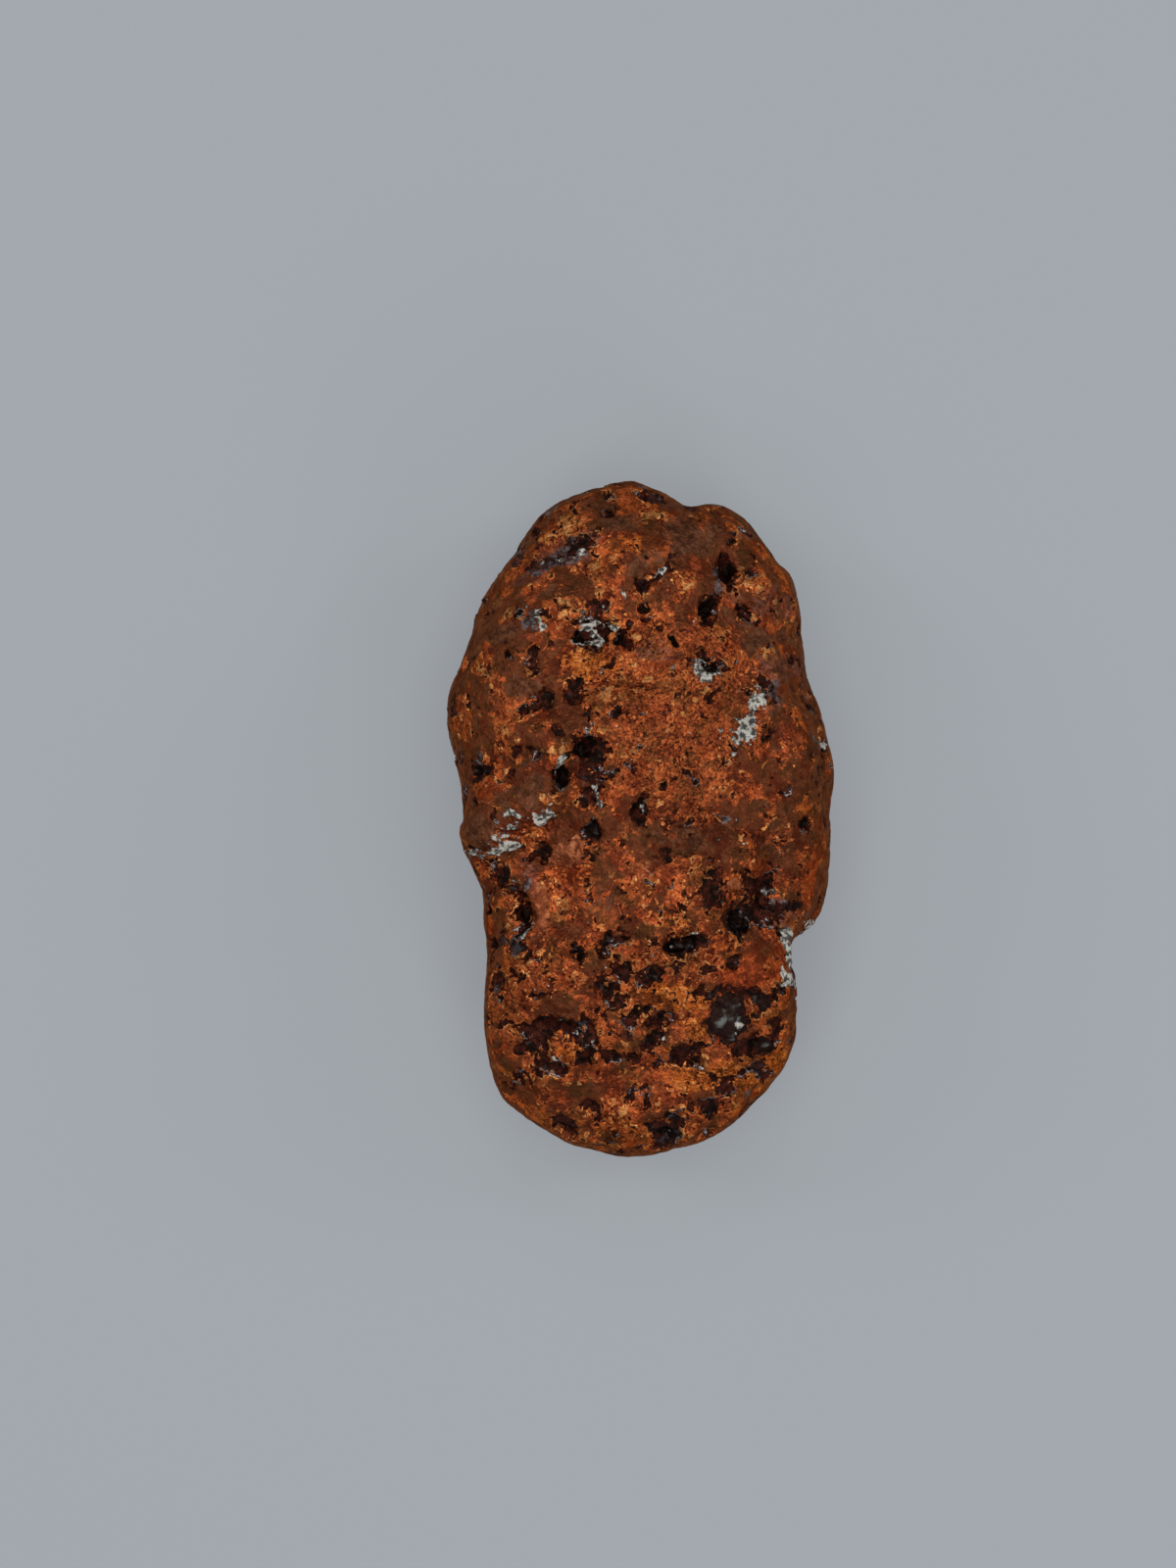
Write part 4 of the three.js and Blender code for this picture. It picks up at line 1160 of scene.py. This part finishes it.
class Shade(Enum):
    """What decides where a coat is lighter."""

    TONE = "tone"  # where the copper below it is brighter
    FLAKES = "flakes"  # from flake to flake


@dataclass(frozen=True)
class Coat:
    """A zone's finish over the copper: what shades it, its cover at most, and its edge's softness."""

    zone: Zone
    finish: Finish
    shade: Shade
    most: float
    soft: float


COAT_EDGE = 0.43  # a zone's value at the edge of its coat
COATS = (
    Coat(Zone.MATTE, FILM, Shade.FLAKES, 0.2, 0.15),
    Coat(Zone.RED, ORANGE_RED, Shade.TONE, 0.6, 0.1),
    Coat(Zone.GOLD, GOLDEN, Shade.TONE, 0.5, 0.1),
    Coat(Zone.TAN, PINK_TAN, Shade.FLAKES, 0.8, 0.03),
    Coat(Zone.PATINA, PATINA, Shade.FLAKES, 0.75, 0.1),
    Coat(Zone.VIOLET, BLOOM, Shade.FLAKES, 0.5, 0.08),
    Coat(Zone.SLATE, SLATE, Shade.FLAKES, 0.8, 0.1),
)


@dataclass(frozen=True)
class FineNoise:
    """A noise of the material: size of its features in millimetres, detail and distortion."""

    size: float
    detail: float = 2
    distortion: float = 0


MOTTLE = FineNoise(0.5, 2, 0.6)  # broad mottling
FINE = FineNoise(0.26, 2, 0.3)  # ragged edges and grain
DUSTING = FineNoise(0.15, 1)  # the finest grain
ISLANDS = FineNoise(0.6, 2, 0.9)  # islands of skin in the gaps
FLECKS = FineNoise(0.9, 3, 0.8)  # bright flecks, partly painted glints
SPECKS = FineNoise(0.6, 3, 1.0)  # dark specks
CURLS = FineNoise(0.42, 1, 1.4)  # curls of the grain
DRIFT = FineNoise(1.5, 3, 0.5)  # drift from red to olive films
DEEPS = FineNoise(0.9, 2, 0.8)  # black depths of the gaps, partly painted shade
SHEEN = FineNoise(0.8, 1, 0.8)  # painted blue-grey sheen in the holes
CLUSTERS = FineNoise(1.6, 1)  # clusters of glints
GLASS_REFLECTION_NOISE = FineNoise(0.9, 3)  # painted reflection in the middle of the glassy mineral
CHALK = FineNoise(0.35, 2)  # light and dark of the crusts


class Value:
    """A number of the material's nodes, which can be added, multiplied and stepped as a number can."""

    def __init__(self, graph: "NodeGraph", socket: bpy.types.NodeSocket) -> None:
        """Wraps a node's output."""
        self.graph = graph
        self.socket = socket

    def __add__(self, other: "Feed") -> "Value":
        """The sum of the two."""
        return self.graph.math("ADD", self, other)

    def __sub__(self, other: "Feed") -> "Value":
        """This value less the other."""
        return self.graph.math("SUBTRACT", self, other)

    def __rsub__(self, other: float) -> "Value":
        """A plain number less this value."""
        return self.graph.math("SUBTRACT", other, self)

    def __mul__(self, other: "Feed") -> "Value":
        """The product of the two."""
        return self.graph.math("MULTIPLY", self, other)

    __radd__ = __add__
    __rmul__ = __mul__

    def over(self, other: "Feed") -> "Value":
        """The larger of the two."""
        return self.graph.math("MAXIMUM", self, other)

    def step(self, low: float, high: float, to: tuple[float, float] = (0, 1)) -> "Value":
        """A smooth step of the value from low to high, between the two results."""
        node = self.graph.tree.nodes.new("ShaderNodeMapRange")
        node.interpolation_type = "SMOOTHSTEP"
        self.graph.feed(node.inputs["Value"], self)
        for name, number in zip(("From Min", "From Max", "To Min", "To Max"), (low, high, *to)):
            node.inputs[name].default_value = number
        return Value(self.graph, node.outputs["Result"])

    def band(self, middle: float, reach: float) -> "Value":
        """1 where the value is near the middle, falling to 0 at the reach on either side."""
        return self.graph.math("ABSOLUTE", self - middle).step(reach, reach * 0.4)


Feed = float | Value


class NodeGraph:
    """Short forms for the nodes of one material."""

    def __init__(self, material: bpy.types.Material) -> None:
        """Turns the material's nodes on, and finds its shader and the object coordinates."""
        material.use_nodes = True
        self.tree = material.node_tree
        self.shader = self.tree.nodes["Principled BSDF"]
        self.place = self.tree.nodes.new("ShaderNodeTexCoord").outputs["Object"]

    def feed(self, socket: bpy.types.NodeSocket, value: Feed | tuple[float, ...]) -> None:
        """Links a socket to another node's value, or sets it to a number or a colour."""
        if isinstance(value, Value):
            self.tree.links.new(value.socket, socket)
        else:
            socket.default_value = value

    def math(self, operation: str, *values: Feed) -> Value:
        """The result of a sum, product or other operation on one or two values."""
        node = self.tree.nodes.new("ShaderNodeMath")
        node.operation = operation
        for socket, value in zip(node.inputs, values):
            self.feed(socket, value)
        return Value(self, node.outputs[0])

    def attribute(self, name: str) -> Value:
        """A named value of the mesh."""
        node = self.tree.nodes.new("ShaderNodeAttribute")
        node.attribute_name = name
        return Value(self, node.outputs["Fac"])

    def texture(self, kind: str, size: float, place: bpy.types.NodeSocket) -> bpy.types.Node:
        """A texture node read at a place, with features of about the given size in millimetres."""
        node = self.tree.nodes.new(kind)
        self.tree.links.new(place, node.inputs["Vector"])
        node.inputs["Scale"].default_value = 1 / (size * MILLIMETRE)
        return node

    def noise(self, kind: FineNoise) -> Value:
        """A fine noise round 0, between −0.5 and 0.5."""
        node = self.texture("ShaderNodeTexNoise", kind.size, self.place)
        node.inputs["Detail"].default_value = kind.detail
        node.inputs["Distortion"].default_value = kind.distortion
        return Value(self, node.outputs["Fac"]) - 0.5

    def scattered(self, size: float, place: bpy.types.NodeSocket) -> tuple[Value, Value]:
        """Middles strewn at random, about one in each cube.

        Args:
            size: Size of the cubes in millimetres.
            place: Where to read them.

        Returns:
            The distance from the nearest middle in millimetres, and that middle's own value from 0 to 1.
        """
        node = self.texture("ShaderNodeTexVoronoi", size, place)
        parts = self.tree.nodes.new("ShaderNodeSeparateColor")
        self.tree.links.new(node.outputs["Color"], parts.inputs[0])
        return Value(self, node.outputs["Distance"]) * size, Value(self, parts.outputs[0])

    def spots(self, size: float, share: Feed) -> tuple[Value, Value]:
        """Strewn spots: the distance from the nearest, and 1 where it is in the chosen share of them."""
        away, value = self.scattered(size, self.place)
        return away, self.math("LESS_THAN", value, share)

    def flakes(self, size: float, warp: float) -> tuple[Value, Value]:
        """A mosaic of flakes with wavy borders.

        Args:
            size: Size of the flakes in millimetres.
            warp: How far their borders are shifted, in millimetres.

        Returns:
            The distance from the nearest flake's middle in millimetres, and that flake's own value round 0.
        """
        shift = self.texture("ShaderNodeTexNoise", size / 1.6, self.place)
        shift.inputs["Detail"].default_value = 1
        moved = self.tree.nodes.new("ShaderNodeVectorMath")
        moved.operation = "MULTIPLY_ADD"
        self.tree.links.new(shift.outputs["Color"], moved.inputs[0])
        moved.inputs[1].default_value = (warp * MILLIMETRE,) * 3
        self.tree.links.new(self.place, moved.inputs[2])
        away, value = self.scattered(size, moved.outputs[0])
        return away, value - 0.5

    def mix(self, share: Feed, first: Feed, second: Feed) -> Value:
        """A number between two others."""
        node = self.tree.nodes.new("ShaderNodeMix")
        for socket, value in zip((node.inputs[0], node.inputs[2], node.inputs[3]), (share, first, second)):
            self.feed(socket, value)
        return Value(self, node.outputs[0])

    def mix_tint(self, share: Feed, first: Value | Tint, second: Value | Tint) -> Value:
        """A colour between two others."""
        node = self.tree.nodes.new("ShaderNodeMix")
        node.data_type = "RGBA"
        self.feed(node.inputs[0], share)
        for socket, tint in zip(node.inputs[6:8], (first, second)):
            self.feed(socket, linear(tint) if isinstance(tint, tuple) else tint)
        return Value(self, node.outputs[2])

    def ramp(self, value: Value, stops: tuple[tuple[float, Tint], ...]) -> Value:
        """The colour of a ramp at a value."""
        node = self.tree.nodes.new("ShaderNodeValToRGB")
        elements = node.color_ramp.elements
        for place, _ in stops[2:]:
            elements.new(place)
        for element, (place, tint) in zip(elements, stops):
            element.position = place
            element.color = linear(tint)
        self.feed(node.inputs["Fac"], value)
        return Value(self, node.outputs["Color"])

    def bump(self, height: Value, distance: float) -> Value:
        """The normal of a height that stands out by up to the given distance in millimetres."""
        node = self.tree.nodes.new("ShaderNodeBump")
        node.inputs["Distance"].default_value = distance * MILLIMETRE
        self.feed(node.inputs["Height"], height)
        return Value(self, node.outputs["Normal"])


class CopperPattern:
    """The copper skin's fine patterns, in nodes: the mesh's values, made ragged and flaky by noise."""

    def __init__(self, graph: NodeGraph) -> None:
        """Sets up the patterns that several finishes share."""
        self.graph = graph
        self.broad = graph.noise(MOTTLE)
        self.fine = graph.noise(FINE)
        self.grain = graph.noise(DUSTING)
        self.ragged = 0.8 * self.broad + 0.4 * self.fine
        lobe, patch = graph.flakes(0.75, 0.7)
        spread, flake = graph.flakes(0.42, 0.4)
        self.mosaic = 0.17 * patch + 0.15 * flake
        island = graph.noise(ISLANDS).step(0.08, 0.1, (0, 0.3))
        lobed = (0.2 - 0.6 * lobe) + (0.1 - 0.5 * spread)
        self.skin = graph.attribute("skin") + island + (0.6 * self.ragged + lobed)
        self.bright, self.worn, self.matte = (graph.attribute(name) for name in ("bright", "worn", "matte"))
        self.filmed = self.roughened("film").step(-0.02, 0.02)
        self.lively = (1 - 0.85 * graph.attribute("calm")) * (1 - 0.75 * self.filmed)
        blob, self.seed = graph.flakes(0.85, 0.9)
        self.blob = blob + 0.5 * self.ragged

    def roughened(self, name: str) -> Value:
        """A value of the mesh with ragged edges."""
        return self.graph.attribute(name) + self.ragged

    def flecks(self) -> tuple[Value, Value]:
        """Bright flecks of metal, partly painted glints: clusters cut out of noise, and round domes where a
        flake's own value picks it, with a painted highlight in each dome's middle.

        Returns:
            How much the flecks and their painted highlights brighten the tone, and how much the painted
            shadows round them darken it.
        """
        graph, lively = self.graph, self.lively
        cluster = 0.18 * self.bright + (0.08 * lively - 0.27)
        flecks = graph.noise(FLECKS) + cluster
        core = flecks.step(-0.01, 0.14, (0.3, 0.56)) + (1.3 * self.fine + 0.8 * self.grain)
        picked = (self.seed + (0.5 * self.bright + 0.14 * lively)).step(0.5, 0.51)
        # painted highlight: brighter towards each dome's middle
        crown = 1.2 * self.fine + self.blob.step(0.34, 0.05, (0.3, 0.75))
        dome = self.blob.step(0.33, 0.29) * picked * crown
        # painted shade: a dark ring round each dome
        ring = self.blob.band(0.39, 0.08) * (0.16 * picked)
        shadow = flecks.band(-0.035, 0.035) * self.broad.step(0.06, -0.06, (0, 0.2))
        return (flecks.step(-0.01, 0.01) * core).over(dome), shadow.over(ring)

    def pits(self) -> tuple[Value, Value]:
        """Small pits: strewn round ones and finer specks.

        Returns:
            Where the pits are, and how much their raised collars brighten the tone.
        """
        graph = self.graph
        speck = (graph.noise(SPECKS) + (0.28 - 0.15 * self.lively)).step(0.015, -0.01)
        away, chosen = graph.spots(1.1, 0.2 * self.worn + 0.2)
        away = away + 0.6 * self.ragged
        round_pit = away.step(0.2, 0.15) * chosen * self.lively
        collar = away.band(0.27, 0.09) * (chosen * (2.0 * self.broad + 0.25))
        return round_pit.over(speck), collar

    def edges(self) -> Value:
        """How much painted highlights on the lips of the sheets, the curls of the grain and painted glints
        brighten the tone.
        """
        graph = self.graph
        lip = self.skin.band(0.07, 0.08) * (0.35 * self.worn + 0.28)
        curls = graph.noise(CURLS).band(0, 0.05) * (0.12 * self.bright + (0.15 * self.matte + 0.12))
        away, chosen = graph.spots(0.42, 0.3 * self.bright + 0.12)
        glint = (away + 0.35 * self.fine).step(0.15, 0.09) * (0.6 * chosen)
        return lip + curls + glint

    def mottle(self) -> Value:
        """The change of tone from flake to flake, and its fine grain, which is weaker under films."""
        flaky = self.mosaic * (0.8 * self.lively + 0.3)
        grainy = self.fine * (0.55 * self.matte + 0.3) + self.grain * (0.45 * self.matte + 0.25)
        return flaky + grainy * (1 - 0.75 * self.filmed)

    def height(self, raised: Value) -> Value:
        """The height for the bump: grain, flakes, the step down into the gaps, and what else is raised."""
        grained = 0.3 * self.fine + 0.12 * self.grain + 0.5 * self.mosaic
        return grained + self.skin.step(-0.05, 0.05, (0, 0.2)) + 0.25 * raised


class Look:
    """The colour, metal and roughness of the surface, which finishes are laid over one after another."""

    def __init__(self, graph: NodeGraph, tone: Value) -> None:
        """Starts with plain copper of the given tone."""
        self.graph = graph
        self.tint = graph.ramp(tone, COPPER_TONES)
        self.metallic = tone.step(0.0, 0.5, (0.9, 1.0))
        self.roughness = tone.step(0.2, 0.8, (0.5, 0.3))

    def lay(self, cover: Value, finish: Finish, light: Value) -> None:
        """Lays a finish over what is there.

        Args:
            cover: How far the finish covers it.
            finish: The finish.
            light: Where the finish is lighter.
        """
        laid = self.graph.mix_tint(light, finish.dark, finish.light)
        self.tint = self.graph.mix_tint(cover, self.tint, laid)
        self.metallic = self.graph.mix(cover, self.metallic, finish.metallic)
        self.roughness = self.graph.mix(cover, self.roughness, finish.roughness)


@dataclass(frozen=True)
class NuggetSurface:
    """The nugget's one material: copper skin, and the other finishes laid over it where the mesh says."""

    name: str = "tarnished_native_copper"
    specular: float = 0.4
    edge_tint: Tint = (232, 176, 140)
    relief: float = 0.35  # how far the finest relief stands out, in millimetres

    def make(self) -> bpy.types.Material:
        """Builds the material from the mesh's values and fine noise on object coordinates."""
        material = bpy.data.materials.new(self.name)
        graph = NodeGraph(material)
        pattern = CopperPattern(graph)
        fleck, shadow = pattern.flecks()
        pit, collar = pattern.pits()
        # painted highlights on the sheets' lips and painted glints, with the curls and pit collars, raise
        # the tone and the bump
        raised = pattern.edges() + collar
        tone = raised * pattern.lively + graph.attribute("tone")
        tone = tone + (fleck - 0.08 * pattern.filmed) - shadow + pattern.mottle()
        look = Look(graph, tone)
        self.lay_films(pattern, look, tone)
        self.lay_oxide(pattern, look, pit)
        self.lay_minerals(pattern, look)
        inputs = graph.shader.inputs
        graph.feed(inputs["Base Color"], look.tint)
        graph.feed(inputs["Metallic"], look.metallic)
        graph.feed(inputs["Roughness"], look.roughness)
        inputs["Specular IOR Level"].default_value = self.specular
        inputs["Specular Tint"].default_value = linear(self.edge_tint)
        graph.feed(inputs["Normal"], graph.bump(pattern.height(raised + fleck), self.relief))
        return material

    def lay_films(self, pattern: CopperPattern, look: Look, tone: Value) -> None:
        """Lays the brown, red and olive films that drift over the copper, then the coats of the zones."""
        warm = tone.step(0.25, 0.7)
        shades = {Shade.TONE: warm, Shade.FLAKES: (pattern.ragged + pattern.mosaic).step(-0.15, 0.2)}
        drift = pattern.graph.noise(DRIFT)
        look.lay(0.65 * pattern.filmed, BROWN_FILM, pattern.broad.step(-0.2, 0.2))
        look.lay(drift.step(0.03, 0.12, (0, 0.5)), RED_FILM, warm)
        look.lay(drift.step(-0.03, -0.12, (0, 0.5)), OLIVE_FILM, warm)
        for coat in COATS:
            cover = pattern.roughened(coat.zone.value)
            cover = cover.step(COAT_EDGE - coat.soft, COAT_EDGE + coat.soft, (0, coat.most))
            look.lay(cover, coat.finish, shades[coat.shade])

    def lay_oxide(self, pattern: CopperPattern, look: Look, pit: Value) -> None:
        """Lays oxide where the skin is missing, black in its holes and depths, partly as painted shade, with
        a painted sheen there, and painted glints on its edges and as scattered specks.
        """
        graph, skin = pattern.graph, pattern.skin
        light = pattern.ragged.step(-0.15, 0.15)
        kept = pattern.blob.step(0.28, 0.24) * pattern.seed.step(0.4, 0.41)
        look.lay(skin.step(0.0, -0.03).over(pit) * (1 - kept), OXIDE, light)
        deep = graph.noise(DEEPS).step(0.02, 0.05) * skin.step(-0.1, -0.16)
        sheen = graph.noise(SHEEN).step(0.08, 0.18)
        look.lay(pattern.roughened("hollow").step(0.0, 0.05).over(deep), HOLLOW, sheen)
        cluster = graph.noise(CLUSTERS).step(0.07, 0.12)
        away, chosen = graph.spots(0.5, 0.4)
        glint_specks = (away + 0.35 * pattern.fine).step(0.13, 0.08) * chosen * skin.step(-0.1, -0.2)
        # painted highlight: pale glints along the gaps' edges and as scattered specks
        look.lay((skin.band(-0.1, 0.04) * cluster).over(glint_specks * cluster), GLINT, light)

    def lay_minerals(self, pattern: CopperPattern, look: Look) -> None:
        """Lays the glassy mineral, with a painted pale reflection in its middle and its edges left dark, and
        the pale crusts.
        """
        graph = pattern.graph
        glass_reflection = (2.4 * graph.noise(GLASS_REFLECTION_NOISE) + graph.attribute("glass")).step(0.85, 1.5)
        look.lay(pattern.roughened("glass").step(0.35, 0.45), GLASSY, glass_reflection)
        look.lay(pattern.roughened("crust").step(0.0, 0.04), CRUST, graph.noise(CHALK).step(-0.1, 0.1))


# The nugget


@dataclass
class CopperNugget:
    """The nugget: its closed surface on a box grid of directions, its relief, and its finishes."""

    cells: tuple[int, int, int] = (117, 205, 78)
    crowding: float = 0.2  # how far the grid's cells crowd towards the upper side
    worn_flat: float = 0.12  # depth worn off the relief of the underside
    form: LumpForm = LumpForm()
    surface: NuggetSurface = NuggetSurface()

    def box_grid(self) -> tuple[Array, Array]:
        """A closed grid over a box's surface.

        Each face is a sheet of whole-number places, and the places that faces share are merged.

        Returns:
            The places, from −1 to 1 each way, and the four corners of each cell, which face outwards.
        """
        sheets = []
        for axis, side in itertools.product(range(3), range(2)):
            across, along = (axis + 1) % 3, (axis + 2) % 3
            steps = np.indices((self.cells[across], self.cells[along])).reshape(2, -1).T
            corners = np.zeros((len(steps), 4, 3), int)
            corners[:, :, axis] = side * self.cells[axis]
            round_cell = np.array([(0, 0), (1, 0), (1, 1), (0, 1)])[:: 1 if side else -1]
            corners[:, :, across] = steps[:, :1] + round_cell[:, 0]
            corners[:, :, along] = steps[:, 1:] + round_cell[:, 1]
            sheets.append(corners)
        places, index = np.unique(np.concatenate(sheets).reshape(-1, 3), axis=0, return_inverse=True)
        return 2 * places / np.array(self.cells) - 1, index.reshape(-1, 4)

    def directions(self, places: Array) -> Array:
        """Unit directions of a box's places: tan(place · 45°) evens the cells, a shift crowds them up."""
        warped = np.tan(places * np.pi / 4)
        even = warped / np.linalg.norm(warped, axis=1, keepdims=True)
        crowded = even + np.array([0, 0, self.crowding])
        return crowded / np.linalg.norm(crowded, axis=1, keepdims=True)

    def build(self) -> bpy.types.Object:
        """Builds the nugget's mesh and its values.

        Returns:
            The nugget's object, at the origin.
        """
        places, cells = self.box_grid()
        points = self.form.surface_at(self.directions(places))
        normals = vertex_normals(points, cells)
        surface = SurfaceMap(points, normals, cells)
        points = fit_to_box(points + normals * surface.relief()[:, None], self.worn_flat)
        mesh = bpy.data.meshes.new("nugget_surface")
        mesh.from_pydata(points * MILLIMETRE, [], cells)
        mesh.shade_smooth()
        for name, value in surface.values().items():
            mesh.attributes.new(name, "FLOAT", "POINT").data.foreach_set("value", value.astype(np.float32))
        nugget = bpy.data.objects.new("nugget", mesh)
        bpy.context.scene.collection.objects.link(nugget)
        return nugget

    def dress(self, nugget: bpy.types.Object) -> None:
        """Gives the nugget its material and its body, in place of the plain solid."""
        nugget.data.materials.append(self.surface.make())
        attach(nugget, BODY)
        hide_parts(NODE)


def vertex_normals(points: Array, cells: Array) -> Array:
    """Unit normals of a grid's points: the sum of the diagonals' cross products of the cells round each."""
    a, b, c, d = (points[cells[:, corner]] for corner in range(4))
    across = np.cross(c - a, d - b)
    corners = cells.ravel()
    sums = [np.bincount(corners, np.repeat(across[:, axis], 4), len(points)) for axis in range(3)]
    normals = np.stack(sums, axis=1)
    return normals / np.linalg.norm(normals, axis=1, keepdims=True)


# The studio


@dataclass(frozen=True)
class Softbox:
    """A square lamp that points at the nugget. Angles are in degrees, power in watts, the rest in metres."""

    azimuth: float
    elevation: float
    power: float
    side: float = 0.15
    distance: float = 0.5


@dataclass
class Studio:
    """A plain pale floor, softboxes all round, and a camera that looks straight down."""

    floor_side: float = 4.0
    floor_tint: Tint = (143, 148, 152)
    floor_glow: Tint = (118, 122, 126)
    floor_roughness: float = 0.9
    floor_specular: float = 0.1
    floor_gap: float = 0.02
    room_tint: Tint = (236, 240, 245)
    room_strength: float = 0.18
    lens: float = 85.0
    sensor: float = 36.0
    image: tuple[int, int] = (1200, 1600)
    nugget_pixels: float = 690  # length of the nugget in the image
    nugget_middle: tuple[float, float] = (654.3, 836.8)  # its middle in the image
    outline_height: float = 8.0  # height of the nugget's outline above the floor
    softboxes: tuple[Softbox, ...] = (
        Softbox(0, 90, 0.85, side=0.44),
        Softbox(20, 30, 0.27),
        Softbox(95, 46, 0.15),
        Softbox(160, 32, 0.27),
        Softbox(230, 50, 0.15),
        Softbox(300, 32, 0.25),
    )

    def add_floor(self) -> None:
        """A square floor just under the nugget, with its own plain pale material."""
        half = self.floor_side / 2
        height = -self.floor_gap * MILLIMETRE
        corners = [(x * half, y * half, height) for x, y in ((-1, -1), (1, -1), (1, 1), (-1, 1))]
        mesh = bpy.data.meshes.new("pale_floor")
        mesh.from_pydata(corners, [], [(0, 1, 2, 3)])
        material = bpy.data.materials.new("pale_floor")
        graph = NodeGraph(material)
        graph.shader.inputs["Base Color"].default_value = linear(self.floor_tint)
        graph.shader.inputs["Emission Color"].default_value = linear(self.floor_glow)
        graph.shader.inputs["Emission Strength"].default_value = 1.0
        graph.shader.inputs["Roughness"].default_value = self.floor_roughness
        graph.shader.inputs["Specular IOR Level"].default_value = self.floor_specular
        mesh.materials.append(material)
        floor = bpy.data.objects.new("pale_floor", mesh)
        bpy.context.scene.collection.objects.link(floor)
        floor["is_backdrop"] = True

    def add_lights(self) -> None:
        """The softboxes, turned towards the nugget, and a weak pale light from everywhere."""
        target = Vector((0, 0, HEIGHT / 2 * MILLIMETRE))
        for index, softbox in enumerate(self.softboxes):
            azimuth, elevation = math.radians(softbox.azimuth), math.radians(softbox.elevation)
            across = math.cos(elevation)
            away = Vector((across * math.cos(azimuth), across * math.sin(azimuth), math.sin(elevation)))
            light = bpy.data.lights.new(f"softbox_{index}", "AREA")
            light.size = softbox.side
            light.energy = softbox.power
            lamp = bpy.data.objects.new(f"softbox_{index}", light)
            lamp.location = target + away * softbox.distance
            lamp.rotation_euler = (-away).to_track_quat("-Z", "Y").to_euler()
            lamp.visible_camera = False
            bpy.context.scene.collection.objects.link(lamp)
        world = bpy.data.worlds.new("pale_room")
        world.use_nodes = True
        background = world.node_tree.nodes["Background"]
        background.inputs["Color"].default_value = linear(self.room_tint)
        background.inputs["Strength"].default_value = self.room_strength
        bpy.context.scene.world = world

    def add_camera(self) -> None:
        """A camera straight above, where the nugget gets the size and place it has in the image."""
        scale = LENGTH / self.nugget_pixels
        away = self.image[1] * scale * self.lens / self.sensor
        camera = bpy.data.cameras.new("camera")
        camera.lens = self.lens
        camera.sensor_width = self.sensor
        camera.dof.use_dof = False
        camera.clip_start = 0.01
        viewer = bpy.data.objects.new("camera", camera)
        x = (self.image[0] / 2 - self.nugget_middle[0]) * scale
        y = (self.nugget_middle[1] - self.image[1] / 2) * scale
        viewer.location = Vector((x, y, away + self.outline_height)) * MILLIMETRE
        bpy.context.scene.collection.objects.link(viewer)
        bpy.context.scene.camera = viewer

    def build(self) -> None:
        """Builds the whole studio, with the plain view transform."""
        self.add_floor()
        self.add_lights()
        self.add_camera()
        bpy.context.scene.view_settings.view_transform = "Standard"


def main() -> None:
    """Builds the nugget and the studio, and reports each piece."""
    logging.basicConfig(level=logging.INFO, format="%(message)s")
    assembly = CopperNugget()
    nugget = assembly.build()
    assembly.dress(nugget)
    low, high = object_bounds()
    sizes = [round(value / MILLIMETRE, 2) for value in high - low]
    log.info("%s: %d faces, %s mm", nugget.name, len(nugget.data.polygons), sizes)
    Studio().build()
    log.info("studio: floor, softboxes, camera")


if __name__ == "__main__":
    main()
